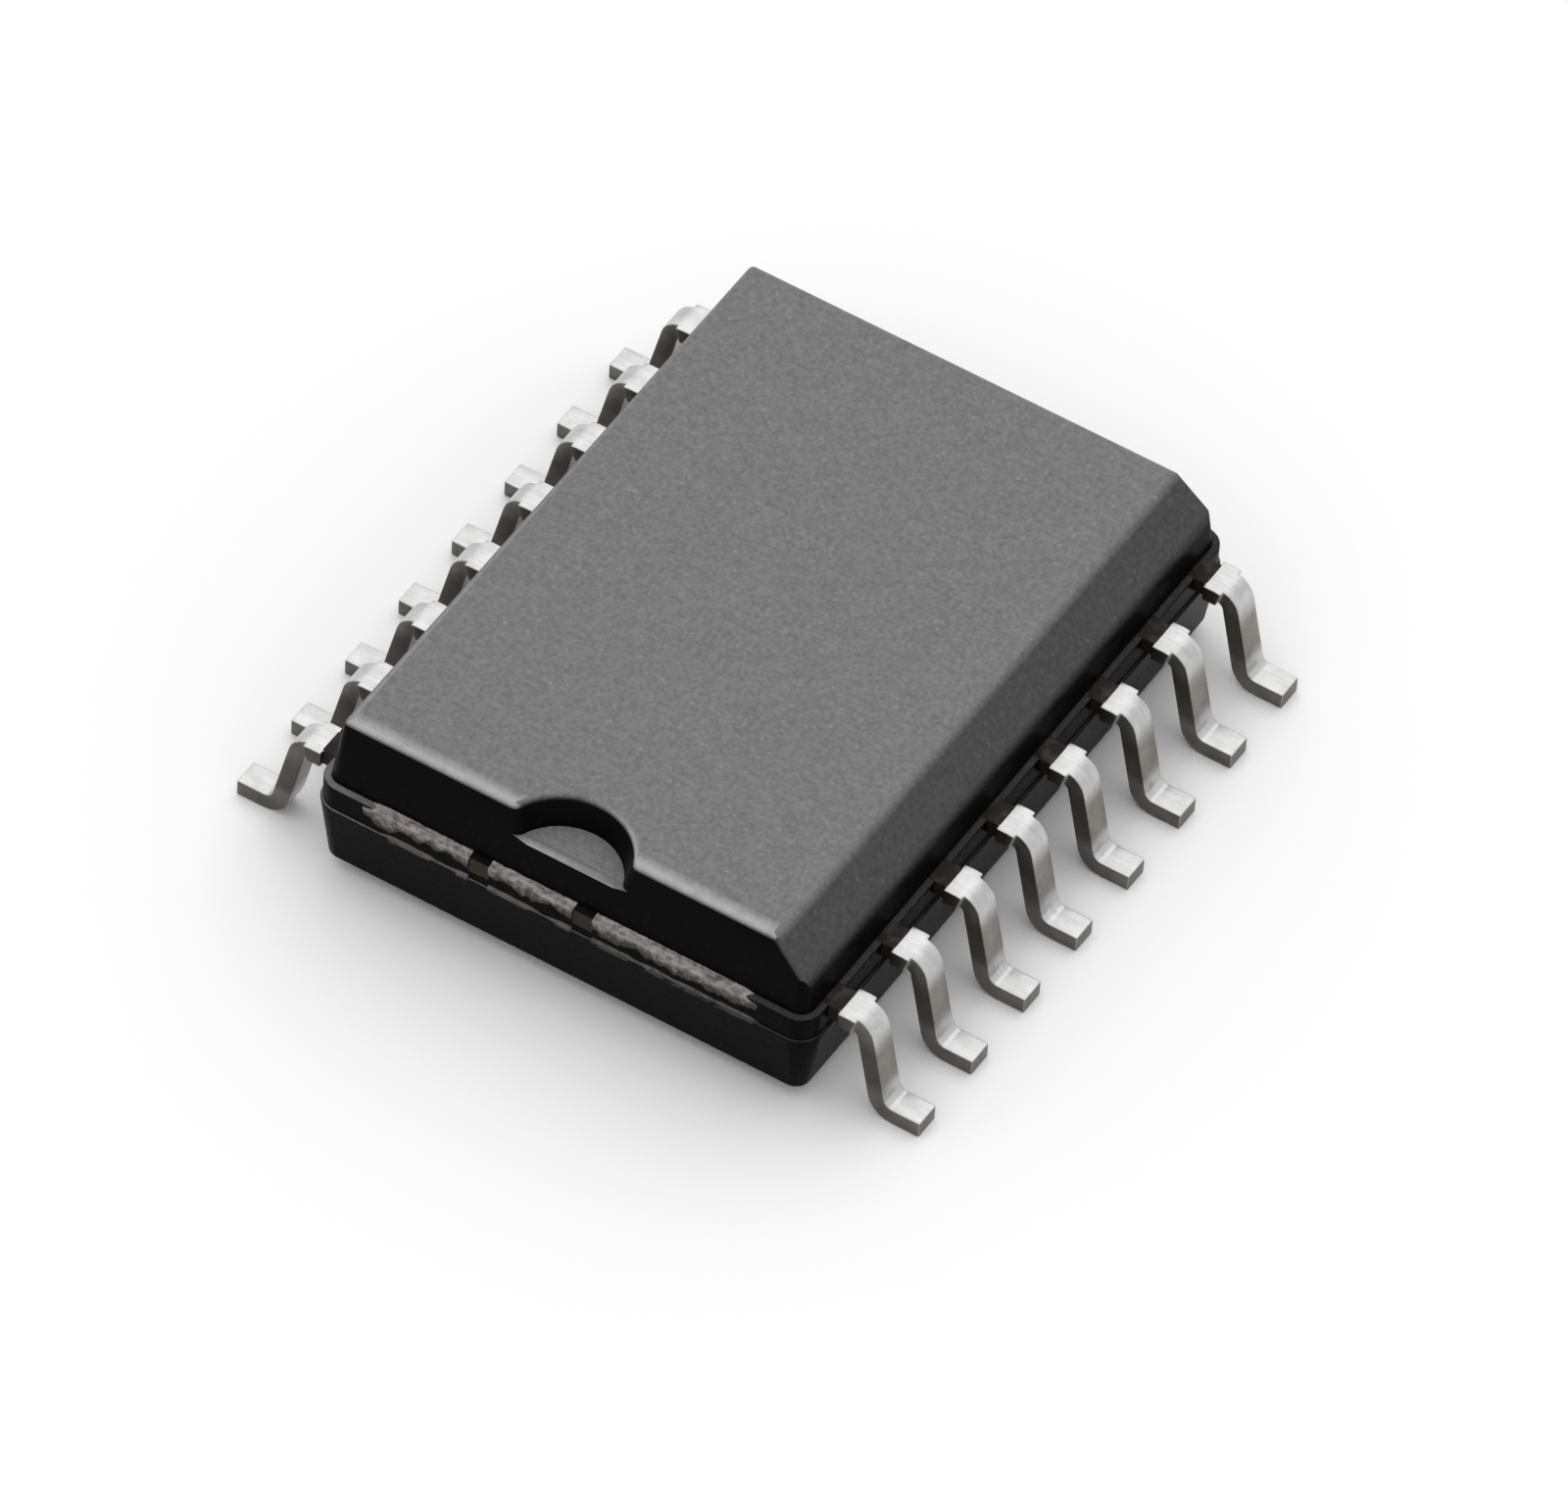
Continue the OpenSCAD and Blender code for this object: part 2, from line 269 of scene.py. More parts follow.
@dataclass(frozen=True)
class MouldCompound(Finish):
    """Black epoxy: satin walls painted near black as shaded, up-facing faces moulded matte and painted paler
    as lit, silica specks, and a painted highlight along the top edges.
    """

    name: str = "mould_compound"
    # The walls' near black is painted shade, and the matte faces' paler colour is painted light.
    wall: Colour = grey(0.003)
    matte: Colour = grey(0.262, -0.004)
    edge_highlight: Colour = grey(0.43)
    # A painted highlight along the top edges and the notch's sill.
    speck: Colour = grey(0.34, 0.03)
    matte_and_lit_layer: str = "matte"
    highlight_layer: str = "edge_highlight"
    grain_per_mm: float = 7.0
    fine_per_mm: float = 14.0
    specks_per_mm: float = 7.0
    lit_cells: Range = (0.45, 0.75)
    speck_edge: Range = (0.08, 0.32)
    speck_cover: float = 0.01
    matte_speck_cover: float = 0.27
    mottle: float = 0.72
    grain_mottle: float = 0.28
    fine_mottle: float = 0.38
    highlight_cover: float = 0.5
    highlight_grain: float = 0.8
    wall_roughness: float = 0.30
    matte_roughness: float = 0.50
    roughness_spread: float = 0.16
    specular: float = 0.025
    grain_height: float = 0.6
    fine_height: float = 0.7
    bump_strength: float = 0.55
    bump_depth: float = 0.006

    def inputs(self, graph: Graph, place: Value) -> Sockets:
        """The inputs of the shader.

        Args:
            graph: Where their nodes go.
            place: Object coordinates in millimetres.

        Returns:
            Values and numbers by the names of their sockets.
        """
        grain = graph.noise(place, self.grain_per_mm, detail=4.0)
        fine = graph.noise(place, self.fine_per_mm, detail=2.0)
        cells = graph.add("ShaderNodeTexVoronoi", None, {"Vector": place, "Scale": self.specks_per_mm})
        lit_cells = graph.ramp(graph.out(cells, "Color"), *self.lit_cells)
        specks = graph.ramp(graph.out(cells, "Distance"), *self.speck_edge, 1.0, 0.0) * lit_cells
        matte = graph.layer(self.matte_and_lit_layer)
        mottle = self.mottle + grain.swing(self.grain_mottle) + fine.swing(self.fine_mottle)
        # Up-facing faces are painted paler as lit and the walls near black as shaded; the mottle is the
        # compound's own grain.
        faces = graph.blend(matte * mottle, self.wall, self.matte)
        # A painted highlight along the top edges, broken up by the grain.
        highlight_share = graph.layer(self.highlight_layer) * (self.highlight_cover + self.highlight_grain * grain)
        edge_highlight = graph.blend(highlight_share, faces, self.edge_highlight)
        speckled = specks * (self.speck_cover + matte * self.matte_speck_cover)
        rougher = matte * (self.matte_roughness - self.wall_roughness)
        height = fine * self.fine_height + grain * self.grain_height
        return {
            "Base Color": graph.blend(speckled, edge_highlight, self.speck),
            "Roughness": self.wall_roughness + rougher + fine.swing(self.roughness_spread),
            "Specular IOR Level": self.specular,
            "Normal": graph.bump(height, self.bump_strength, self.bump_depth),
        }


@dataclass(frozen=True)
class BrokenResin(Finish):
    """Torn edge of the moulding at the parting plane: dull, pale with bared filler, and pitted, fading down
    to a painted shade at its hem.
    """

    name: str = "broken_resin"
    dark: Colour = (0.075, 0.066, 0.058, 1.0)
    pale: Colour = (0.410, 0.368, 0.340, 1.0)
    # A near-black painted shade that the torn face fades into towards its hem.
    hem: Colour = (0.011, 0.010, 0.009, 1.0)
    lumps_per_mm: float = 11.0
    streaks_per_mm: float = 16.0
    streak_run: tuple[float, float, float] = (0.12, 1.0, 1.0)
    bared: Range = (0.32, 0.62)
    share_layer: str = "share"
    fading: Range = (0.58, 0.96)
    fading_spread: float = 0.6
    roughness: float = 0.62
    roughness_spread: float = 0.3
    bump_strength: float = 0.8
    bump_depth: float = 0.02

    @classmethod
    def in_specks(cls) -> "BrokenResin":
        """A seam of which only specks are bared.

        Returns:
            The finish.
        """
        return cls(
            name="broken_resin_specks",
            dark=grey(0.02),
            pale=(0.13, 0.115, 0.108, 1.0),
            lumps_per_mm=7.0,
            streaks_per_mm=5.0,
        )

    def inputs(self, graph: Graph, place: Value) -> Sockets:
        """The inputs of the shader.

        Args:
            graph: Where their nodes go.
            place: Object coordinates in millimetres.

        Returns:
            Values and numbers by the names of their sockets.
        """
        lumps = graph.noise(place, self.lumps_per_mm, detail=5.0)
        streaks = graph.noise(graph.stretched(place, self.streak_run), self.streaks_per_mm)
        torn = graph.blend(graph.ramp((lumps + streaks) * 0.5, *self.bared), self.dark, self.pale)
        # Painted shade: the face darkens down towards its hem.
        fading = graph.ramp(graph.layer(self.share_layer) - lumps.swing(self.fading_spread), *self.fading)
        return {
            "Base Color": graph.blend(fading, torn, self.hem),
            "Roughness": self.roughness + lumps.swing(self.roughness_spread),
            "Normal": graph.bump(lumps, self.bump_strength, self.bump_depth),
        }


@dataclass(frozen=True)
class TinPlate(Finish):
    """Matte tin: cloudy, drawn along the lead, darkened by painted shade on the formed shank and the sideways
    faces, dark at the neck with resin bleed and painted shade, bare where cut.

    A cover tells how far a tone hides what lies under it, and how much that varies.
    """

    name: str = "tin_plate"
    bright: Colour = grey(0.56)
    cloud: Colour = grey(0.45, 0.006)
    # The formed shank's darker colour is painted shade.
    shank_shade: Colour = (0.170, 0.156, 0.129, 1.0)
    # The sideways faces' near-black colour is painted shade.
    side_shade: Colour = (0.038, 0.032, 0.026, 1.0)
    bared: Colour = (0.066, 0.059, 0.051, 1.0)
    # The neck's near-black colour is resin bleed, darkened further as painted shade from the body.
    bleed_and_shade: Colour = (0.022, 0.018, 0.014, 1.0)
    side_shade_layer: str = "side_shade"
    cut_layer: str = "cut"
    bleed_and_shade_layer: str = "bleed_and_shade"
    formed_low: Range = (0.40, 0.62)
    formed_high: Range = (1.05, 1.40)
    shank_shade_cover: Range = (0.85, 0.5)
    side_shade_cover: Range = (0.8, 0.4)
    cut_cover: Range = (0.75, 0.6)
    bleed_and_shade_cover: Range = (1.0, 0.4)
    clouds_per_mm: float = 5.0
    drawn_per_mm: tuple[float, float, float] = (2.0, 26.0, 2.0)
    matte_per_mm: float = 60.0
    cloudy: Range = (0.36, 0.66)
    cloud_share: float = 0.6
    bleed_dulling: float = 0.9
    bleed_specular: float = 0.08
    roughness: float = 0.33
    roughness_spread: float = 0.18
    cut_roughness: float = 0.14
    bleed_roughness: float = 0.15
    matte_height: float = 0.5
    drawn_height: float = 0.7
    bump_strength: float = 0.35
    bump_depth: float = 0.004

    def inputs(self, graph: Graph, place: Value) -> Sockets:
        """The inputs of the shader.

        Args:
            graph: Where their nodes go.
            place: Object coordinates in millimetres.

        Returns:
            Values and numbers by the names of their sockets.
        """
        height = graph.along(place, 2)
        clouds = graph.noise(place, self.clouds_per_mm, detail=4.0)
        drawn = graph.noise(graph.stretched(place, self.drawn_per_mm), 1.0)
        matte = graph.noise(place, self.matte_per_mm, detail=2.0)
        shank_shade = graph.ramp(height, *self.formed_low) * graph.ramp(height, *self.formed_high, 1.0, 0.0)
        side_shade, cut, bleed_and_shade = map(graph.layer, (self.side_shade_layer, self.cut_layer, self.bleed_and_shade_layer))
        cloudy = clouds * self.cloud_share + drawn * (1 - self.cloud_share)
        tone = graph.blend(graph.ramp(cloudy, *self.cloudy), self.cloud, self.bright)
        # The shank's and the sideways faces' tones are painted shade, the neck's is resin bleed with painted
        # shade, and the cut faces' is bare metal.
        for mask, (cover, spread), pattern, colour in (
            (shank_shade, self.shank_shade_cover, clouds, self.shank_shade),
            (side_shade, self.side_shade_cover, drawn, self.side_shade),
            (cut, self.cut_cover, matte, self.bared),
            (bleed_and_shade, self.bleed_and_shade_cover, clouds, self.bleed_and_shade),
        ):
            tone = graph.blend(mask * (cover + pattern.swing(spread)), tone, colour)
        rougher = cut * self.cut_roughness + bleed_and_shade * self.bleed_roughness
        relief = matte * self.matte_height + drawn * self.drawn_height
        return {
            "Base Color": tone,
            "Metallic": 1.0 - bleed_and_shade * self.bleed_dulling,
            "Roughness": self.roughness + clouds.swing(self.roughness_spread) + rougher,
            "Specular IOR Level": self.bleed_specular,
            "Normal": graph.bump(relief, self.bump_strength, self.bump_depth),
        }


@dataclass(frozen=True)
class InnerFinish(Finish):
    """A finish of the pieces sealed in the mould: a colour with a grain, tarnished at bared ends."""

    name: str
    colour: Colour
    shade: Colour
    metallic: float
    roughness: float
    grain_per_mm: float
    tarnish: Colour | None = None
    tarnish_y: Range = (4.90, 5.02)
    tarnish_cover: Range = (1.03, 0.2)
    shaded: Range = (0.35, 0.65)
    roughness_spread: float = 0.2
    bump_strength: float = 0.3
    bump_depth: float = 0.004

    def inputs(self, graph: Graph, place: Value) -> Sockets:
        """The inputs of the shader.

        Args:
            graph: Where their nodes go.
            place: Object coordinates in millimetres.

        Returns:
            Values and numbers by the names of their sockets.
        """
        grain = graph.noise(place, self.grain_per_mm)
        colour = graph.blend(graph.ramp(grain, *self.shaded), self.shade, self.colour)
        if self.tarnish:
            ends = graph.ramp(graph.math("ABSOLUTE", graph.along(place, 1)), *self.tarnish_y)
            cover, spread = self.tarnish_cover
            colour = graph.blend(ends * (cover + grain.swing(spread)), colour, self.tarnish)
        return {
            "Base Color": colour,
            "Metallic": self.metallic,
            "Roughness": self.roughness + grain.swing(self.roughness_spread),
            "Normal": graph.bump(grain, self.bump_strength, self.bump_depth),
        }


INNER_FINISHES = {
    Slot.COPPER: InnerFinish(
        "lead_frame_copper",
        colour=(0.72, 0.43, 0.28, 1.0),
        shade=(0.60, 0.34, 0.21, 1.0),
        metallic=1.0,
        roughness=0.42,
        grain_per_mm=14.0,
        tarnish=(0.028, 0.028, 0.018, 1.0),
    ),
    Slot.SILICON: InnerFinish(
        "silicon",
        colour=(0.12, 0.13, 0.17, 1.0),
        shade=(0.09, 0.10, 0.14, 1.0),
        metallic=0.6,
        roughness=0.18,
        grain_per_mm=3.0,
    ),
    Slot.COIL: InnerFinish(
        "coil_film",
        colour=(0.50, 0.29, 0.05, 1.0),
        shade=(0.40, 0.20, 0.03, 1.0),
        metallic=0.0,
        roughness=0.30,
        grain_per_mm=10.0,
    ),
    Slot.ATTACH: InnerFinish(
        "die_attach",
        colour=(0.42, 0.42, 0.40, 1.0),
        shade=(0.30, 0.30, 0.29, 1.0),
        metallic=0.5,
        roughness=0.55,
        grain_per_mm=25.0,
    ),
    Slot.GOLD: InnerFinish(
        "gold_wire",
        colour=(0.83, 0.58, 0.18, 1.0),
        shade=(0.74, 0.50, 0.14, 1.0),
        metallic=1.0,
        roughness=0.22,
        grain_per_mm=40.0,
    ),
}
INNER_NODES = {
    Slot.COPPER: ("primary_pad", "secondary_pad"),
    Slot.SILICON: ("primary_die", "secondary_die"),
    Slot.COIL: ("data_transformer_die", "power_transformer_die"),
    Slot.ATTACH: (
        "primary_die_attach",
        "secondary_die_attach",
        "data_transformer_attach",
        "power_transformer_attach",
    ),
    Slot.GOLD: ("primary_lead_wires", "driver_wires", "isolation_wires", "secondary_lead_wires"),
}


def box_mm(node: str) -> tuple[Vector, Vector]:
    """The corners of a CAD node's box in millimetres."""
    low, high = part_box(node)
    return low / MM, high / MM


def with_borders(faces: Sequence[Face]) -> list[Face | Edge | Vert]:
    """Faces together with their edges and vertices."""
    edges = {edge for face in faces for edge in face.edges}
    return [*faces, *edges, *{vert for edge in edges for vert in edge.verts}]


def of_kind(items: Iterable[Face | Edge | Vert], kind: type) -> list[Face | Edge | Vert]:
    """Those of an operator's results that are of one kind."""
    return [item for item in items if isinstance(item, kind)]


def edges_at(bm: Mesh, axis: int, place: float) -> list[Edge]:
    """The edges that lie in a plane across an axis."""
    return [edge for edge in bm.edges if all(abs(vert.co[axis] - place) < CLOSE for vert in edge.verts)]


def raise_faces(bm: Mesh, faces: Sequence[Face], by: Vector) -> list[Face]:
    """Extrudes a patch of faces.

    Args:
        bm: The mesh that holds the faces.
        faces: The patch.
        by: The way that it moves.

    Returns:
        The moved faces.
    """
    moved = of_kind(bmesh.ops.extrude_face_region(bm, geom=with_borders(faces))["geom"], Face)
    bmesh.ops.translate(bm, vec=by, verts=list({vert for face in moved for vert in face.verts}))
    return moved


def cut_faces(
    bm: Mesh,
    faces: Sequence[Face],
    point: Vector,
    normal: Vector,
    drop: bool = False,
) -> list[Edge]:
    """Cuts faces along a plane.

    Args:
        bm: The mesh that holds the faces.
        faces: What the plane cuts.
        point: A point of the plane.
        normal: Its normal.
        drop: Whether what lies beyond the plane is taken away.

    Returns:
        The edges along the cut.
    """
    cut = bmesh.ops.bisect_plane(
        bm,
        geom=with_borders(faces),
        dist=TINY,
        plane_co=point,
        plane_no=normal,
        clear_outer=drop,
    )
    return of_kind(cut["geom_cut"], Edge)


def round_edges(bm: Mesh, edges: Sequence[Edge], radius: float, steps: int) -> None:
    """Rounds edges with a bevel."""
    bmesh.ops.bevel(bm, geom=edges, offset=radius, segments=steps, profile=0.5, affect="EDGES", material=-1)


def step_in(bm: Mesh, face: Face, inward: float, up: float) -> None:
    """Draws a face in from its outline and lifts it, so that a drafted wall joins the two outlines."""
    bmesh.ops.inset_region(bm, faces=[face], thickness=inward, use_even_offset=True, use_boundary=True)
    bmesh.ops.translate(bm, vec=(0, 0, up), verts=face.verts)


def split_at(edges: Iterable[Edge], point: Vector) -> Vert:
    """Puts a vertex into the edge that passes through a point.

    Args:
        edges: The edges to look among.
        point: Where the vertex goes.

    Returns:
        The new vertex.
    """
    for edge in edges:
        start, end = (vert.co for vert in edge.verts)
        along = end - start
        share = (point - start).dot(along) / along.length_squared
        if 0 < share < 1 and (start + along * share - point).length < CLOSE:
            return bmesh.utils.edge_split(edge, edge.verts[0], share)[1]
    raise ValueError(f"no edge passes through {tuple(point)}")


def place_piece(
    bm: Mesh,
    name: str,
    material: bpy.types.Material,
    nodes: Sequence[str] = (),
) -> bpy.types.Object:
    """Makes an object of a mesh drawn in millimetres and ties it to the frame.

    Args:
        bm: The mesh, which is freed.
        name: Name of the piece.
        material: Its finish.
        nodes: CAD nodes that the piece stands for.

    Returns:
        The piece.
    """
    bmesh.ops.recalc_face_normals(bm, faces=bm.faces)
    bmesh.ops.scale(bm, vec=(MM, MM, MM), verts=bm.verts)
    for face in bm.faces:
        face.smooth = True
    for edge in bm.edges:
        edge.smooth = edge.calc_face_angle(0.0) < SHARP
    mesh = bpy.data.meshes.new(name)
    bm.to_mesh(mesh)
    bm.free()
    mesh.materials.append(material)
    piece = bpy.data.objects.new(name, mesh)
    bpy.context.scene.collection.objects.link(piece)
    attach(piece, ROOT)
    if nodes:
        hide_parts(*nodes)
    LOG.info("%s: %d faces", name, len(mesh.polygons))
    return piece


def even_normals(piece: bpy.types.Object) -> None:
    """Keeps flat faces flat in the shading between rounded edges."""
    modifier = piece.modifiers.new("even_normals", "WEIGHTED_NORMAL")
    modifier.keep_sharp = True


@dataclass
class MouldedBody:
    """The moulded body: two drafted halves round an upright band, with the index notch and the chamfer."""

    half_w: float
    half_l: float
    floor_z: float
    top_z: float
    parting_z: float
    rim_z: float = 1.24
    rim_step: float = 0.03
    ledge: float = 0.10
    draft: float = 8.0
    corner_r: float = 0.35
    corner_steps: int = 8
    chamfer: float = 0.45
    chamfer_top_round: float = 0.24
    chamfer_side_round: float = 0.60
    slices: int = 12
    notch_r: float = 0.92
    notch_depth: float = 0.44
    notch_draft: float = 15.0
    notch_steps: int = 40
    notch_corner_r: float = 0.13
    notch_corner_steps: int = 4
    sill: float = 0.11
    ejector_r: float = 0.70
    ejector_depth: float = 0.05
    ejector_y: float = 2.80
    ejector_steps: int = 24
    metal_reveal: float = 0.004
    top_round: float = 0.09
    rim_r: float = 0.028
    floor_r: float = 0.05
    round_steps: int = 5
    outer_share: float = 0.93
    outer_angle: float = 60.0
    least_lean: float = 0.01
    # From here the faces are matte and painted paler the more they look up, as painted light.
    matte_from: float = 0.45
    matte_power: float = 1.15
    slope_reach: float = 0.20
    # The least share of the painted light kept on ledge and rim, which are painted in shade.
    least_ledge_light: float = 0.20
    # These place the painted highlight along the top edges, on one side of the notch and on its sill.
    highlight_from: float = 0.30
    highlight_gain: float = 2.0
    highlight_other_edges: float = 0.4
    highlight_inward: float = 0.18
    inward_gain: float = 1.1
    highlight_rise: float = 0.1
    highlight_fall: float = 0.9
    unhighlighted_notch_x: float = 0.30

    @classmethod
    def from_frame(cls) -> "MouldedBody":
        """Takes the outer sizes from the CAD body and the parting plane from a lead."""
        low, high = box_mm("moulded_body")
        return cls(high.x, high.y, floor_z=low.z, top_z=high.z, parting_z=box_mm("lead_01")[1].z)

    @property
    def taper(self) -> float:
        """How far a wall leans in for each millimetre of height."""
        return math.tan(math.radians(self.draft))

    @property
    def upper_y(self) -> float:
        """Half length of the upper half at the ledge."""
        return self.half_l - self.rim_step - self.metal_reveal - self.ledge

    @property
    def upper_x(self) -> float:
        """Half width of the upper half at the ledge."""
        return self.half_w - self.rim_step - self.metal_reveal - self.ledge

    @property
    def ledge_z(self) -> float:
        """Height of the ledge, a hair under the tops of the leads that pass it."""
        return self.parting_z - self.metal_reveal

    @property
    def notch_z(self) -> float:
        """Height of the notch's floor."""
        return self.top_z - self.notch_depth

    @property
    def round_h(self) -> float:
        """Height of the round along the top edge."""
        return self.top_round * (1 - math.sin(math.radians(self.draft)))

    @property
    def flat_y(self) -> float:
        """Half length of the flat part of the top."""
        wall_y = self.upper_y - self.lean_at(self.top_z - self.round_h)
        return wall_y - self.top_round * math.cos(math.radians(self.draft))

    @property
    def slope(self) -> Vector:
        """Normal of the chamfer, which falls at 45 degrees."""
        return self.tilted(45.0)

    @staticmethod
    def tilted(angle: float) -> Vector:
        """The direction at an angle in degrees from straight up towards the pin 1 row."""
        return Vector((-math.sin(math.radians(angle)), 0, math.cos(math.radians(angle))))

    def lean_at(self, z: float) -> float:
        """How far the upper half has leaned in at a height."""
        return (z - self.ledge_z) * self.taper

    def notch_edge(self, z: float) -> list[Vector]:
        """The notch's outline at a height, with its two corners rounded.

        Args:
            z: The height.

        Returns:
            Points from one end of the outline to the other.
        """
        radius = self.notch_r - (self.top_z - z) * math.tan(math.radians(self.notch_draft))
        end_y = self.upper_y - self.lean_at(z)
        reach = radius + self.notch_corner_r
        spread = math.acos((self.half_l - end_y + self.notch_corner_r) / reach)
        corner = Vector((reach * math.sin(spread), end_y - self.notch_corner_r, z))
        turns = [spread * step / self.notch_corner_steps for step in range(self.notch_corner_steps + 1)]
        first = [corner + Vector((-math.sin(t), math.cos(t), 0)) * self.notch_corner_r for t in turns]
        turns = [spread * (1 - 2 * step / self.notch_steps) for step in range(1, self.notch_steps)]
        arc = [Vector((radius * math.sin(t), self.half_l - radius * math.cos(t), z)) for t in turns]
        return [*first, *arc, *(Vector((-point.x, point.y, z)) for point in reversed(first))]

    def halves(self, bm: Mesh) -> tuple[Face, Face]:
        """Draws the body from its rim down to the underside and up to the notch's floor.

        Args:
            bm: An empty mesh.

        Returns:
            The underside, and the face at the notch's floor.
        """
        bmesh.ops.create_grid(bm, x_segments=1, y_segments=1, size=1.0)
        bmesh.ops.scale(bm, vec=(self.half_w, self.half_l, 1.0), verts=bm.verts)
        bmesh.ops.translate(bm, vec=(0, 0, self.rim_z), verts=bm.verts)
        bmesh.ops.bevel(
            bm,
            geom=bm.verts[:],
            offset=self.corner_r,
            segments=self.corner_steps,
            profile=0.5,
            affect="VERTICES",
            material=-1,
        )
        underside = bm.faces[:][0]
        drop = self.rim_z - self.floor_z
        step_in(bm, underside, drop * self.taper, -drop)
        rim = [edge for edge in bm.edges if edge.is_boundary]
        upper = bmesh.ops.holes_fill(bm, edges=rim)["faces"][0]
        step_in(bm, upper, self.rim_step + self.metal_reveal, 0.0)
        upper = raise_faces(bm, [upper], Vector((0, 0, self.ledge_z - self.rim_z)))[0]
        step_in(bm, upper, self.ledge, 0.0)
        step_in(bm, upper, self.lean_at(self.notch_z), self.notch_z - self.ledge_z)
        return underside, upper

    def cut_notch(self, bm: Mesh, upper: Face) -> None:
        """Parts the notch's floor from the face at its height and raises the rest to a rounded top edge.

        Args:
            bm: The mesh of the body.
            upper: The face at the height of the notch's floor.
        """
        low_edge = self.notch_edge(self.notch_z)
        ends = [split_at(upper.edges, low_edge[place]) for place in (0, -1)]
        other = bmesh.utils.face_split(upper, *ends, coords=low_edge[1:-1], use_exist=False)[0]
        floor, top = sorted((upper, other), key=lambda face: face.calc_area())
        wall = self.notch_depth - self.round_h
        step_in(bm, top, wall * self.taper, wall)
        centre = Vector((0, self.half_l))
        near = [vert for vert in top.verts if (vert.co.xy - centre).length < self.notch_r + self.ledge]
        near.sort(key=lambda vert: -vert.co.x)
        for vert, point in zip(near, self.notch_edge(self.notch_z + wall), strict=True):
            vert.co = point
        lean = math.radians(self.draft)
        turn = (math.pi / 2 - lean) / self.round_steps
        tilts = [lean + turn * step for step in range(self.round_steps + 1)]
        for tilt, onward in zip(tilts, tilts[1:]):
            inward = math.cos(tilt) - math.cos(onward)
            step_in(bm, top, inward * self.top_round, (math.sin(onward) - math.sin(tilt)) * self.top_round)
        self.part_highlight_strips(bm, top)
        self.ease_notch_sill(bm, floor)

    def part_highlight_strips(self, bm: Mesh, top: Face) -> None:
        """Closes the top's corners to points, and parts off its strips that carry the painted highlight at
        the notch's end.

        Args:
            bm: The mesh of the body.
            top: The flat of the top.
        """
        corners = [vert for vert in top.verts if abs(vert.co.x) > 2 * self.notch_r]
        bmesh.ops.remove_doubles(bm, verts=corners, dist=self.top_round / 3)
        for inward in (self.highlight_inward, self.highlight_inward / 2):
            flat = [face for face in bm.faces if all(vert.co.z > self.top_z - TINY for vert in face.verts)]
            cut_faces(bm, flat, Vector((0, self.flat_y - inward, 0)), Vector((0, 1, 0)))

    def ease_notch_sill(self, bm: Mesh, floor: Face) -> None:
        """Lets the front edge of the notch's floor fall away a little.

        Args:
            bm: The mesh of the body.
            floor: The notch's floor.
        """
        end_y = self.upper_y - self.lean_at(self.notch_z)
        cut_faces(bm, [floor], Vector((0, end_y - self.sill, 0)), Vector((0, 1, 0)))
        sill_x = self.notch_edge(self.notch_z)[0].x - 2 * self.sill
        lowered = []
        for x in (-sill_x, sill_x):
            lowered.append(split_at(edges_at(bm, 2, self.notch_z), Vector((x, end_y, self.notch_z))))
        bmesh.ops.translate(bm, vec=Vector((0, self.taper, -1)) * self.sill / 2, verts=lowered)

    def cut_chamfer(self, bm: Mesh) -> None:
        """Slices off the top edge of the pin 1 row, and rounds the slice's own edges with finer slices.

        Args:
            bm: The mesh of the body.
        """
        up, wall = self.tilted(0.0), self.tilted(90.0 - self.draft)
        top_x = self.chamfer - self.upper_x + self.lean_at(self.top_z)
        fall = self.chamfer / (1 - self.taper)
        crest = Vector((top_x, self.upper_y - self.lean_at(self.top_z), self.top_z))
        self.slice_off(bm, crest, self.slope)
        self.round_by_slices(bm, crest, up, self.slope, self.chamfer_top_round)
        self.round_by_slices(bm, crest - Vector((fall, 0, fall)), self.slope, wall, self.chamfer_side_round)
        lean = math.radians(self.draft)
        for way in (-1, 1):
            end = Vector((0, way * math.cos(lean), math.sin(lean)))
            corner = Vector((crest.x, way * crest.y, crest.z))
            self.round_by_slices(bm, corner, self.slope, end, self.top_round)

    def round_by_slices(self, bm: Mesh, corner: Vector, first: Vector, second: Vector, radius: float) -> None:
        """Rounds a straight edge by slices that touch the round.

        Args:
            bm: The mesh of the body.
            corner: A point of the edge.
            first: Normal of the face on one side of it.
            second: Normal of the face on its other side.
            radius: Radius of the round.
        """
        centre = corner - (first + second) * radius / (1 + first.dot(second))
        for step in range(1, self.slices):
            normal = first.slerp(second, step / self.slices)
            self.slice_off(bm, centre + normal * radius, normal)

    def slice_off(self, bm: Mesh, point: Vector, normal: Vector) -> None:
        """Takes off what of the upper half lies beyond a plane through a point and closes the cut."""
        upper = [face for face in bm.faces if face.calc_center_median().z > self.ledge_z + CLOSE]
        bmesh.ops.holes_fill(bm, edges=cut_faces(bm, upper, point, normal, drop=True))

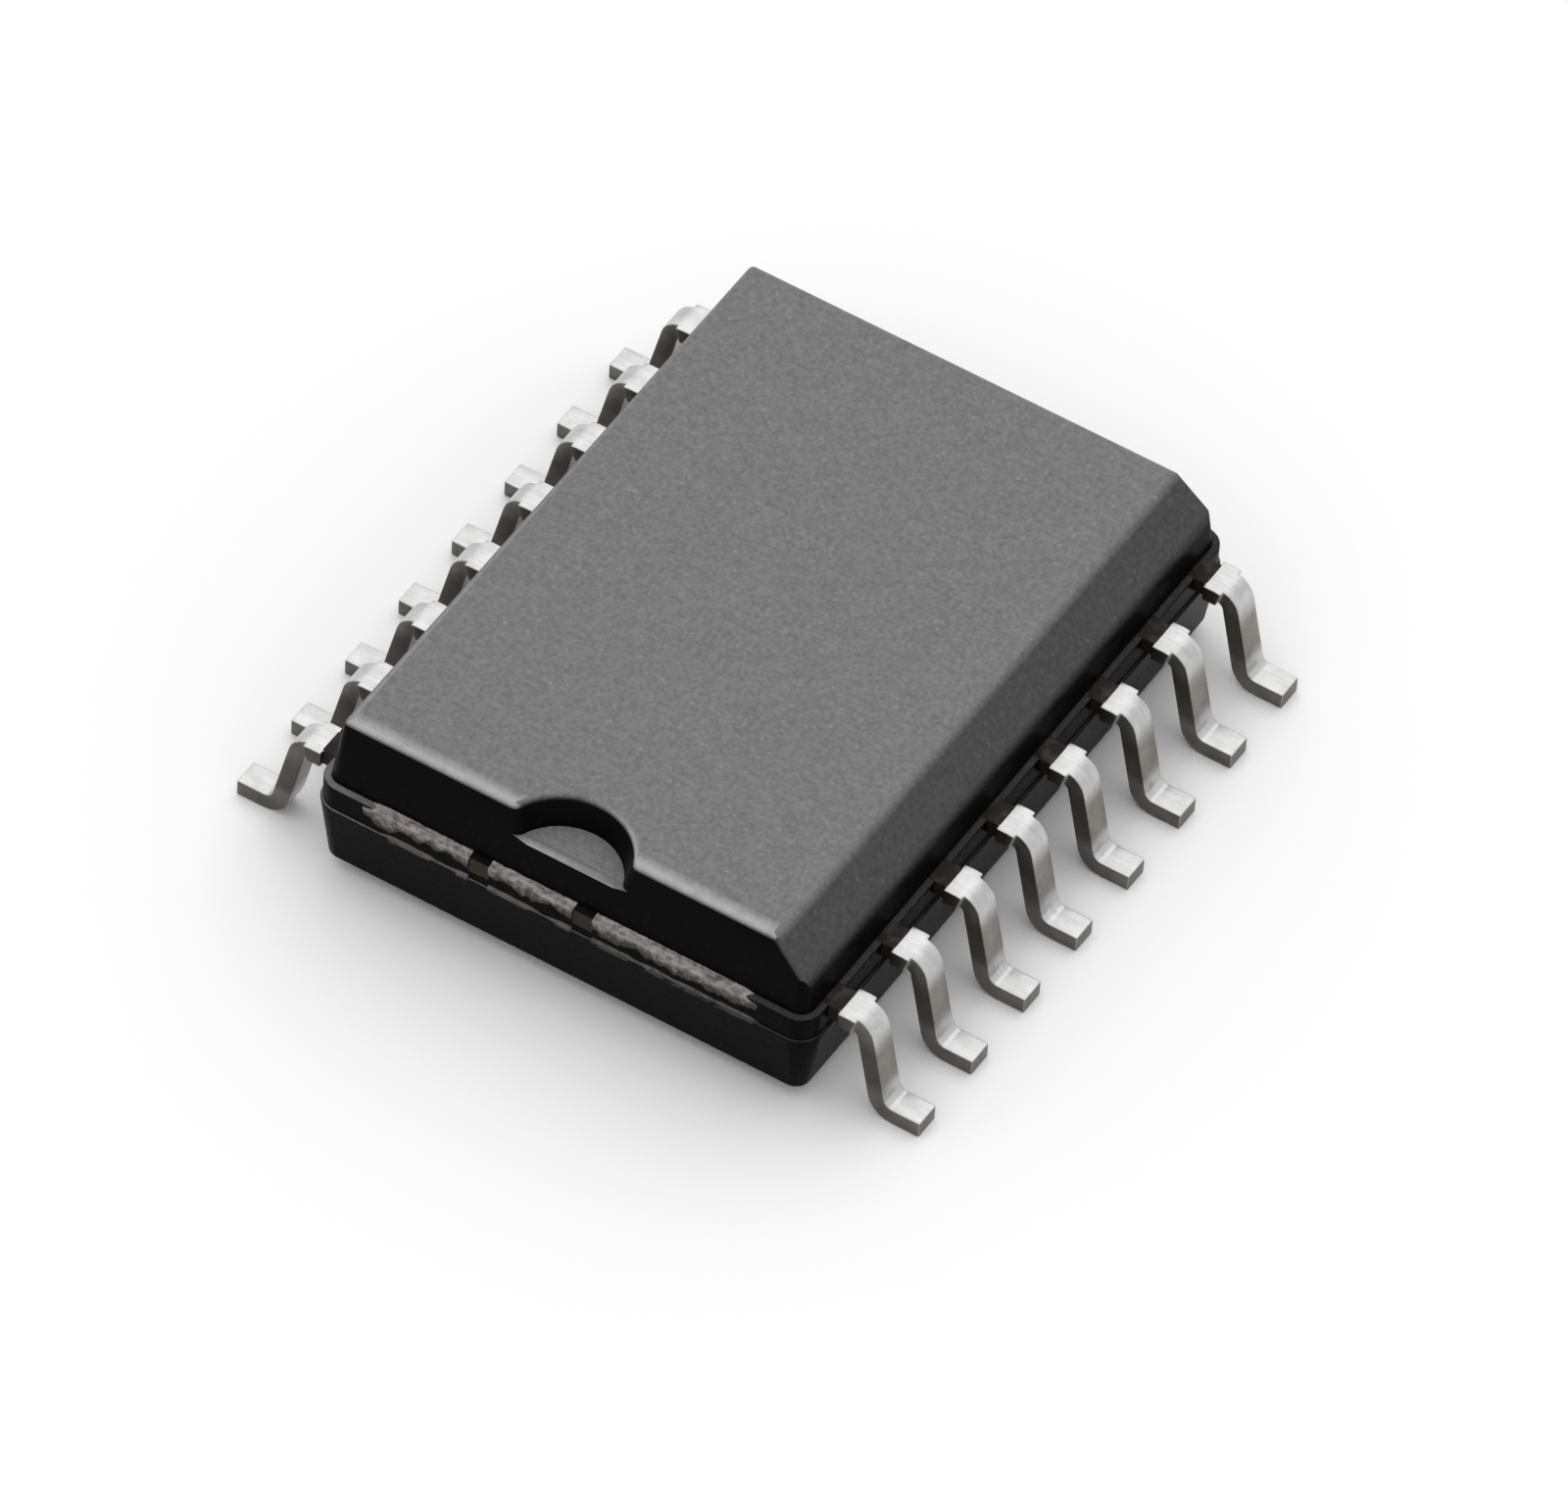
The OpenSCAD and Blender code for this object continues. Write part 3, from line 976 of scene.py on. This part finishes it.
    def sink_ejector_marks(self, bm: Mesh, underside: Face) -> None:
        """Presses the two round ejector-pin marks into the underside.

        Args:
            bm: The mesh of the body.
            underside: The face that they go into.
        """
        cut_faces(bm, [underside], Vector((0, 0, 0)), Vector((1, 0, 0)))
        for centre_y in (-self.ejector_y, self.ejector_y):
            ends = []
            for y in (centre_y - self.ejector_r, centre_y + self.ejector_r):
                ends.append(split_at(edges_at(bm, 0, 0.0), Vector((0, y, self.floor_z))))
            span = next(edge for edge in ends[0].link_edges if edge in ends[1].link_edges)
            discs = []
            for half in list(span.link_faces):
                side_r = math.copysign(self.ejector_r, half.calc_center_median().x)
                turns = [math.pi * step / self.ejector_steps for step in range(1, self.ejector_steps)]
                points = [(side_r * math.sin(t), centre_y - self.ejector_r * math.cos(t)) for t in turns]
                arc = [Vector((x, y, self.floor_z)) for x, y in points]
                other = bmesh.utils.face_split(half, *ends, coords=arc, use_exist=False)[0]
                discs.append(min(half, other, key=lambda face: face.calc_area()))
            raise_faces(bm, discs, Vector((0, 0, self.ejector_depth)))

    def is_outer(self, edge: Edge) -> bool:
        """Whether an edge is sharp and lies near the body's outline.

        Args:
            edge: An edge of the body.

        Returns:
            True for such an edge.
        """
        x, y, _ = edge.verts[0].co
        sharp = edge.calc_face_angle_signed() > math.radians(self.outer_angle)
        return sharp and max(abs(x) / self.half_w, abs(y) / self.half_l) > self.outer_share

    def round_rims(self, bm: Mesh) -> None:
        """Rounds the outer edges of the ledge, the rim and the underside."""
        for z, radius in ((self.ledge_z, self.rim_r), (self.rim_z, self.rim_r), (self.floor_z, self.floor_r)):
            round_edges(bm, list(filter(self.is_outer, edges_at(bm, 2, z))), radius, self.round_steps)

    def on_chamfer(self, face: Face) -> bool:
        """Whether a face belongs to the chamfer, its rounds or the wall under it.

        Args:
            face: A face of the body.

        Returns:
            True for such a face.
        """
        place = face.calc_center_median()
        beside = face.normal.x < -self.least_lean and place.x < 2 * self.chamfer - self.upper_x
        return beside and place.z > self.ledge_z + self.rim_r

    def matte_and_lit_of(self, face: Face) -> float:
        """How far a face is matte and painted paler as lit: the more it looks up, and evenly over the
        chamfer.

        Args:
            face: A face of the body.

        Returns:
            0 to 1.
        """
        level = face.normal.z
        if self.on_chamfer(face):
            level = max(level, min(self.slope.z, level + self.slope_reach))
        return unit((level - self.matte_from) / (1 - self.matte_from)) ** self.matte_power

    def ledge_light_at(self, point: Vector) -> float:
        """How far the matte and its painted light hold: less on ledge and rim, as painted shade, the further
        from one corner of the notch's end.

        Args:
            point: A point of the body.

        Returns:
            0 to 1.
        """
        if point.z > self.ledge_z + self.rim_r:
            return 1.0
        near = (1 + point.x / self.half_w) / 2 * (1 + point.y / self.half_l) / 2
        return self.least_ledge_light + (1 - self.least_ledge_light) * near

    def highlight_of(self, face: Face) -> float:
        """How far a face takes the painted highlight: the top edges, one side of the notch and its sill.

        Args:
            face: A face of the body.

        Returns:
            0 to 1.
        """
        place = face.calc_center_median()
        if place.z < self.notch_z - self.sill or self.on_chamfer(face):
            return 0.0
        edge = unit((face.normal.z - self.highlight_from) / (1 - self.highlight_from) * self.highlight_gain)
        across = Vector((place.x, self.half_l - place.y)).length
        if place.z > self.notch_z and across < self.notch_r + self.top_round and place.y < self.flat_y:
            return edge * unit((self.unhighlighted_notch_x - place.x) / self.notch_r)
        sideways = face.normal.y < abs(face.normal.x) - CLOSE
        return edge * (self.highlight_other_edges if sideways else 1.0)

    def highlight_at(self, point: Vector) -> float:
        """How far the painted highlight holds: most at the start of an edge's round, less and less from
        there.

        Args:
            point: A point of the body.

        Returns:
            0 to 1.
        """
        if point.z < self.notch_z + CLOSE:
            return (self.notch_z - point.z) / (self.sill / 2)
        depth = self.top_z - point.z
        inward = unit(self.inward_gain * (1 - (self.flat_y - point.y) / self.highlight_inward))
        rise = max(inward, unit(depth / (self.highlight_rise * self.top_round)))
        return rise * unit((self.round_h - depth) / (self.highlight_fall * self.round_h))

    def mark_tones(self, bm: Mesh, finish: MouldCompound) -> None:
        """Marks the faces that were moulded matte and are painted paler as lit, with painted shade on ledge
        and rim, and the edges that carry a painted highlight, which fades out.

        Args:
            bm: The mesh of the body.
            finish: The finish that reads the marks.
        """
        layers = bm.loops.layers.float
        matte, edge_highlight = layers.new(finish.matte_and_lit_layer), layers.new(finish.highlight_layer)
        bm.normal_update()
        for face in bm.faces:
            # Painted light on up-facing faces, painted shade on ledge and rim, and a painted highlight along
            # the edges.
            lit_matteness, highlight_share = self.matte_and_lit_of(face), self.highlight_of(face)
            for loop in face.loops:
                loop[matte] = lit_matteness * self.ledge_light_at(loop.vert.co)
                loop[edge_highlight] = highlight_share * self.highlight_at(loop.vert.co)

    def build(self, finish: MouldCompound) -> bpy.types.Object:
        """Builds the body.

        Args:
            finish: What it is dressed in.

        Returns:
            The piece.
        """
        bm = bmesh.new()
        underside, upper = self.halves(bm)
        self.cut_notch(bm, upper)
        self.cut_chamfer(bm)
        self.sink_ejector_marks(bm, underside)
        bmesh.ops.recalc_face_normals(bm, faces=bm.faces)
        self.round_rims(bm)
        self.mark_tones(bm, finish)
        piece = place_piece(bm, "moulded_epoxy_body", finish.make(), ["moulded_body"])
        even_normals(piece)
        return piece


@dataclass
class TornSeam:
    """Rough resin left along both ends where the moulding broke off, open where the tie bars were cut.

    Its section runs down from a wall to a knee and on to a hem, each told by how far it lies in from the
    body's end and by its height. A fractal is told by its increment, lacunarity and octaves, and a row or
    level says where in the noise it is read.
    """

    name: str
    body: MouldedBody
    start: Vector
    knee: Vector
    hem: Vector
    from_x: float = -3.02
    to_x: float = 3.06
    tie_bars: tuple[float, ...] = (-0.34, 1.22)
    tie_bar_w: float = 0.30
    step: float = 0.03
    rows: int = 8
    knee_share: float = 0.6
    thickness: float = 0.02
    lump: float = 0.014
    lumps_per_mm: float = 6.0
    lump_fractal: tuple[float, float, int] = (0.8, 2.0, 3)
    lump_height: float = 0.85
    lump_depth: float = 0.5
    ragged: float = 0.7
    rags_per_mm: float = 2.6
    rag_fractal: tuple[float, float, int] = (0.7, 2.2, 4)
    rag_row: float = 4.0
    rag_level: float = 0.5
    sunk: float = 0.0
    sinks_per_mm: float = 2.0
    sink_row: float = 7.0
    end_sink: float = 0.08
    end_length: float = 0.30
    # A painted shade that darkens the seam towards the pin 1 row.
    worn: float = 0.0
    clearance: float = 0.001

    @classmethod
    def over_ledge(cls, body: MouldedBody) -> "TornSeam":
        """The crust over the ledge at the foot of the upper half.

        Args:
            body: The body that it clings to.

        Returns:
            The seam.
        """
        start = Vector((body.half_l - body.upper_y + 0.006, body.ledge_z + 0.03))
        knee = Vector((0.006, body.ledge_z - 0.005))
        hem = Vector((0.010, body.ledge_z - 0.17))
        return cls("torn_crust", body, start, knee, hem)

    @classmethod
    def along_rim(cls, body: MouldedBody) -> "TornSeam":
        """The thin broken line along the rim of the lower half.

        Args:
            body: The body that it clings to.

        Returns:
            The seam.
        """
        start = Vector((body.rim_step + body.metal_reveal + 0.004, body.rim_z + 0.05))
        knee = Vector((0.002, body.rim_z - 0.01))
        hem = Vector((0.004, body.rim_z - 0.045))
        return cls("torn_rim", body, start, knee, hem, from_x=-3.20, lump=0.006, sunk=0.04, worn=0.45)

    def stretches(self) -> list[tuple[float, float]]:
        """Stretches of the seam between the tie bars.

        Returns:
            Where each starts and stops.
        """
        half = self.tie_bar_w / 2
        starts = [self.from_x, *(x + half for x in self.tie_bars)]
        stops = [*(x - half for x in self.tie_bars), self.to_x]
        return list(zip(starts, stops))

    def surface_point(self, x: float, share: float, end: int) -> Vector:
        """A point of the torn face, with lumps, a ragged hem and stretches that sink into the body.

        Args:
            x: Place along the end of the body.
            share: 0 at the wall, 1 at the hem.
            end: 1 at the notch, -1 at the far end.

        Returns:
            The point in millimetres.
        """
        rag_place = Vector((x * self.rags_per_mm, self.rag_row * end, self.rag_level))
        ragged = 1 + self.ragged * noise.fractal(rag_place, *self.rag_fractal)
        hem = self.knee + (self.hem - self.knee) * ragged
        if share < self.knee_share:
            place = self.start.lerp(self.knee, share / self.knee_share)
        else:
            place = self.knee.lerp(hem, (share - self.knee_share) / (1 - self.knee_share))
        lump_place = Vector((x, share / 2, end)) * self.lumps_per_mm
        to_end = min(x - self.from_x, self.to_x - x) / self.end_length
        lift = self.lump * noise.fractal(lump_place, *self.lump_fractal) - self.end_sink * unit(1 - to_end)
        lift -= self.sunk * unit(noise.noise(Vector((x * self.sinks_per_mm, self.sink_row, end))))
        inward = max(self.clearance, place.x - lift * self.lump_depth)
        return Vector((x, end * (self.body.half_l - inward), place.y + lift * self.lump_height))

    def build(self, finish: BrokenResin) -> None:
        """Builds the seam at both ends, its points marked with their share of the way to the hem, plus a
        painted shade towards the pin 1 row.

        Args:
            finish: What it is dressed in, which reads the marks.
        """
        material = finish.make()
        for end, place in ((1, "notch"), (-1, "far")):
            bm = bmesh.new()
            to_hem = bm.verts.layers.float.new(finish.share_layer)
            for start, stop in self.stretches():
                columns = round((stop - start) / self.step)
                grid = bmesh.ops.create_grid(bm, x_segments=columns, y_segments=self.rows, size=0.5)
                for vert in grid["verts"]:
                    x = start + (vert.co.x + 0.5) * (stop - start)
                    share = vert.co.y + 0.5
                    # The share grows towards the pin 1 row, as painted shade.
                    vert[to_hem] = share + self.worn * (self.to_x - x) / (self.to_x - self.from_x)
                    vert.co = self.surface_point(x, share, end)
            raise_faces(bm, bm.faces[:], Vector((0, -end, -1)) * self.thickness)
            place_piece(bm, f"{self.name}_{place}_end", material)


@dataclass
class GullWingLead:
    """One lead: a finger inside the mould, a shoulder with the stubs of its dam bar, a shank and a foot."""

    pin: int
    side: Side
    y: float
    toe_x: float
    top_z: float
    tip_x: float
    band_x: float
    width: float = 0.40
    thickness: float = 0.25
    shoulder: float = 0.34
    shoulder_r: float = 0.10
    foot: float = 0.40
    foot_r: float = 0.14
    bend_steps: int = 5
    stub_gap: float = 0.16
    stub_w: float = 0.07
    stub_bend_steps: int = 1
    root: float = 0.42
    tip: float = 0.35
    tip_w: float = 0.56
    tip_fan: float = 0.90
    edge_r: float = 0.020
    edge_steps: int = 3
    sharp_angle: float = 40.0
    # Where the sideways faces begin to take their painted shade, and over how much turn it comes in.
    side_shade_from: float = 0.5
    side_shade_over: float = 0.4
    square_on: float = 0.8

    @classmethod
    def from_frame(cls, pin: int, body: MouldedBody) -> "GullWingLead":
        """Takes a lead's side, reach and height from its CAD node, and its place in the row from its foot.

        Args:
            pin: Number of the lead.
            body: The body that it leaves.

        Returns:
            The lead.
        """
        name = f"lead_{pin:02d}"
        low, high = box_mm(name)
        tip_x, toe_x = sorted((abs(low.x), abs(high.x)))
        sole = next(mount for mount in frame["record"]["mounts"] if mount["name"] == f"{name}_sole")
        return cls(
            pin,
            side=Side.PRIMARY if low.x + high.x < 0 else Side.SECONDARY,
            y=sole["pos_m"][1] / MM,
            toe_x=toe_x,
            top_z=high.z,
            tip_x=tip_x,
            band_x=body.half_w - body.rim_step,
        )

    @property
    def root_x(self) -> float:
        """Where the finger has narrowed to the lead's width."""
        return self.band_x - self.root

    @property
    def stub_x(self) -> float:
        """Where the stubs of the dam bar start."""
        return self.band_x + self.stub_gap

    @property
    def bend_x(self) -> float:
        """Where the shoulder starts to bend."""
        return self.band_x + self.shoulder

    def draw_finger(self, bm: Mesh) -> Face:
        """Draws the finger out of its tip on the +X side, through the body's wall and on to the shoulder.

        Args:
            bm: An empty mesh.

        Returns:
            The end face, where the shoulder starts to bend.
        """
        tip_y = self.y * self.tip_fan
        bmesh.ops.create_grid(bm, x_segments=1, y_segments=1, size=0.5)
        upright = Matrix.Rotation(math.radians(90), 4, "Y")
        size = Matrix.Diagonal((self.thickness, self.tip_w, 1, 1))
        at_tip = Matrix.Translation((self.tip_x, tip_y, self.top_z - self.thickness / 2))
        bmesh.ops.transform(bm, matrix=at_tip @ upright @ size, verts=bm.verts)
        end = self.run(bm, bm.faces[:][0], self.tip, 0)
        end = self.run(bm, end, self.root_x - self.tip_x - self.tip, 0)
        bmesh.ops.translate(bm, vec=(0, self.y - tip_y, 0), verts=end.verts)
        on_row = Matrix.Translation((0, -self.y, 0))
        bmesh.ops.scale(bm, vec=(1, self.width / self.tip_w, 1), space=on_row, verts=end.verts)
        stops = (self.root_x, self.band_x, self.stub_x, self.bend_x)
        for start, stop in zip(stops, stops[1:]):
            end = self.run(bm, end, stop - start, 0)
        return end

    def draw(self, bm: Mesh) -> None:
        """Draws the lead on the +X side, its shank leaning out so that it runs tangent to both bends.

        Args:
            bm: An empty mesh.
        """
        end = self.draw_finger(bm)
        shoulder = Vector((self.bend_x, self.y, self.top_z - self.thickness - self.shoulder_r))
        foot = Vector((self.toe_x - self.foot, self.y, self.thickness + self.foot_r))
        across = foot - shoulder
        radii = self.shoulder_r + self.thickness + self.foot_r
        span = math.hypot(across.x, across.z)
        lean = math.atan2(across.x, -across.z) - math.asin(radii / span)
        bend = math.pi / 2 - lean
        end = self.spin(bm, end, shoulder, bend)
        shank = math.sqrt(span**2 - radii**2)
        end = self.run(bm, end, shank * math.sin(lean), -shank * math.cos(lean))
        end = self.spin(bm, end, foot, -bend)
        self.run(bm, end, self.foot, 0)
        self.draw_stubs(bm, shoulder, bend / self.bend_steps * self.stub_bend_steps)

    @staticmethod
    def run(bm: Mesh, end: Face, x: float, z: float) -> Face:
        """Draws the end face straight on."""
        return raise_faces(bm, [end], Vector((x, 0, z)))[0]

    def spin(self, bm: Mesh, end: Face, centre: Vector, angle: float) -> Face:
        """Draws the end face round a bend.

        Args:
            bm: The mesh of the lead.
            end: The face at its end.
            centre: Centre of the bend.
            angle: How far it turns, downwards if positive.

        Returns:
            The new end face.
        """
        turned = bmesh.ops.spin(
            bm,
            geom=with_borders([end]),
            cent=centre,
            axis=(0, 1, 0),
            angle=angle,
            steps=self.bend_steps,
        )
        return of_kind(turned["geom_last"], Face)[0]

    def draw_stubs(self, bm: Mesh, shoulder: Vector, turn: float) -> None:
        """Draws the dam-bar stubs out of both edges of the shoulder.

        Args:
            bm: The mesh of the lead.
            shoulder: Centre of the shoulder bend.
            turn: How far round the bend they reach.
        """
        bm.normal_update()
        for way in (-1, 1):
            patch = []
            for face in bm.faces:
                place = face.calc_center_median() - shoulder
                on_bend = place.z > 0 and math.atan2(place.x, place.z) < turn
                if on_bend and shoulder.x + place.x > self.stub_x and face.normal.y * way > self.square_on:
                    patch.append(face)
            raise_faces(bm, patch, Vector((0, way * self.stub_w, 0)))

    def mark_tones(self, bm: Mesh, finish: TinPlate) -> None:
        """Marks the sideways faces, which take a painted shade, the cut faces of toe and stubs, and the neck,
        with resin bleed and painted shade from the body.

        Args:
            bm: The mesh of the lead.
            finish: The finish that reads the marks.
        """
        names = (finish.side_shade_layer, finish.cut_layer, finish.bleed_and_shade_layer)
        side_shade, cut, bleed_and_shade = [bm.faces.layers.float.new(name) for name in names]
        bm.normal_update()
        for face in bm.faces:
            place = face.calc_center_median()
            sideways = abs(face.normal.y)
            at_toe = face.normal.x > self.square_on and place.x > self.toe_x - self.edge_r
            at_stub = sideways > self.square_on and abs(place.y - self.y) > (self.width + self.stub_w) / 2
            # The sideways faces take a painted shade.
            face[side_shade] = unit((sideways - self.side_shade_from) / self.side_shade_over)
            face[cut] = float(at_toe or at_stub)
            # The neck by the body: resin bleed with painted shade.
            face[bleed_and_shade] = float(place.x < self.stub_x)

    def build(self, finish: TinPlate, material: bpy.types.Material) -> bpy.types.Object:
        """Builds the lead, with its edges rounded outside the mould and its tones marked.

        Args:
            finish: Its plating.
            material: The plating's material, which all leads share.

        Returns:
            The piece.
        """
        bm = bmesh.new()
        self.draw(bm)
        sharp = [
            edge
            for edge in bm.edges
            if edge.calc_face_angle(0.0) > math.radians(self.sharp_angle)
            and all(vert.co.x > self.band_x - self.root / 2 for vert in edge.verts)
        ]
        round_edges(bm, sharp, self.edge_r, self.edge_steps)
        self.mark_tones(bm, finish)
        bmesh.ops.scale(bm, vec=(self.side.value, 1, 1), verts=bm.verts)
        name = f"lead_{self.pin:02d}"
        piece = place_piece(bm, f"plated_{name}", material, [name])
        even_normals(piece)
        return piece


@dataclass
class InnerAssembly:
    """The pieces sealed in the mould, which keep their CAD meshes and get their finishes."""

    finishes: dict[Slot, InnerFinish] = field(default_factory=lambda: INNER_FINISHES)
    nodes: dict[Slot, tuple[str, ...]] = field(default_factory=lambda: INNER_NODES)

    def dress(self) -> None:
        """Gives each node the finish of its slot."""
        for slot, names in self.nodes.items():
            material = self.finishes[slot].make()
            for name in names:
                node = frame["nodes"][name]
                node.data.materials.clear()
                node.data.materials.append(material)
                LOG.info("%s: %s", name, material.name)


def facing(azimuth: float, elevation: float, distance: float, target: Vector, roll: float = 0.0) -> Matrix:
    """The place of a lamp or camera that looks at a target.

    Args:
        azimuth: Degrees round the object; 0 looks along +Y.
        elevation: Degrees above the horizon.
        distance: From the target, in metres.
        target: The point looked at.
        roll: Degrees of turn about the line of sight.

    Returns:
        The world matrix.
    """
    turn = Matrix.Rotation(math.radians(azimuth), 4, "Z")
    tilt = Matrix.Rotation(math.radians(90 - elevation), 4, "X")
    spin = Matrix.Rotation(math.radians(roll), 4, "Z")
    return Matrix.Translation(target) @ turn @ tilt @ Matrix.Translation((0, 0, distance)) @ spin


@dataclass(frozen=True)
class SoftPanel:
    """A square studio panel that faces the object, with its angles in degrees and its sizes in metres.

    Its watts per square metre are those that give a radiance of 1.
    """

    name: str
    azimuth: float
    elevation: float
    distance: float
    size: float
    radiance: float
    watts_per_m2: float = 4.0

    def place(self, target: Vector) -> None:
        """Hangs the panel.

        Args:
            target: The point that it faces.
        """
        light = bpy.data.lights.new(self.name, "AREA")
        light.shape = "SQUARE"
        light.size = self.size
        light.energy = self.radiance * self.watts_per_m2 * self.size**2
        panel = bpy.data.objects.new(self.name, light)
        panel.matrix_world = facing(self.azimuth, self.elevation, self.distance, target)
        bpy.context.scene.collection.objects.link(panel)


@dataclass
class Studio:
    """Pale floor, soft panels, white surroundings and the camera at the photograph's angle."""

    target: Vector = field(default_factory=lambda: Vector((-0.814, 1.042, 1.2)) * MM)
    azimuth: float = 209.009
    elevation: float = 47.794
    roll: float = 4.157
    distance: float = 0.250
    focal_px: float = 19968.6
    floor_half: float = 1.0
    floor_shown: float = 1.0
    floor_bounce: float = 0.30
    ambient: float = 0.78
    ambient_shown: float = 1.0
    panels: tuple[SoftPanel, ...] = (
        SoftPanel("back_panel", azimuth=29.0, elevation=64.0, distance=0.5, size=0.78, radiance=0.50),
    )

    @staticmethod
    def seen(graph: Graph) -> Value:
        """Tells what is looked at from what only lights the object.

        Args:
            graph: Where the nodes go.

        Returns:
            1 for a ray from the camera, off gloss or through glass, and 0 for scattered light.
        """
        path = graph.add("ShaderNodeLightPath")
        shown = graph.out(path, "Is Camera Ray")
        for name in ("Is Glossy Ray", "Is Transmission Ray"):
            shown = graph.math("MAXIMUM", shown, graph.out(path, name))
        return shown

    def lay_floor(self) -> None:
        """Lays the floor: white where it is seen, pale where it only scatters light."""
        material = new_material("studio_floor")
        graph = Graph(material.node_tree)
        colour = graph.blend(self.seen(graph), grey(self.floor_bounce), grey(self.floor_shown))
        graph.surface(graph.add("ShaderNodeBsdfDiffuse", None, {"Color": colour}))
        bm = bmesh.new()
        bmesh.ops.create_grid(bm, x_segments=1, y_segments=1, size=self.floor_half)
        mesh = bpy.data.meshes.new("studio_floor")
        bm.to_mesh(mesh)
        bm.free()
        mesh.materials.append(material)
        floor = bpy.data.objects.new("studio_floor", mesh)
        bpy.context.scene.collection.objects.link(floor)

    def light(self) -> None:
        """Hangs the panels and sets the surroundings."""
        world = bpy.data.worlds.new("studio")
        world.use_nodes = True
        bpy.context.scene.world = world
        graph = Graph(world.node_tree)
        colour = graph.blend(self.seen(graph), grey(self.ambient), grey(self.ambient_shown))
        background = graph.out(graph.add("ShaderNodeBackground", None, {"Color": colour}))
        graph.add("ShaderNodeOutputWorld", None, {"Surface": background})
        for panel in self.panels:
            panel.place(self.target)

    def set_camera(self) -> None:
        """Sets up the camera."""
        lens = bpy.data.cameras.new("photo_camera")
        lens.sensor_width = SENSOR_WIDTH
        lens.lens = self.focal_px * SENSOR_WIDTH / PHOTO_WIDTH
        camera = bpy.data.objects.new("photo_camera", lens)
        camera.matrix_world = facing(self.azimuth, self.elevation, self.distance, self.target, self.roll)
        bpy.context.scene.collection.objects.link(camera)
        bpy.context.scene.camera = camera

    def build(self) -> None:
        """Builds the studio."""
        bpy.context.scene.view_settings.view_transform = "Standard"
        self.lay_floor()
        self.light()
        self.set_camera()


def main() -> None:
    """Builds the pieces in order, then the studio."""
    logging.basicConfig(level=logging.INFO, format="%(name)s %(message)s")
    body = MouldedBody.from_frame()
    body.build(MouldCompound())
    TornSeam.over_ledge(body).build(BrokenResin())
    TornSeam.along_rim(body).build(BrokenResin.in_specks())
    plating = TinPlate()
    tin = plating.make()
    for node in sorted(name for name in frame["nodes"] if name.startswith("lead_")):
        GullWingLead.from_frame(int(node.removeprefix("lead_")), body).build(plating, tin)
    InnerAssembly().dress()
    Studio().build()


if __name__ == "__main__":
    main()
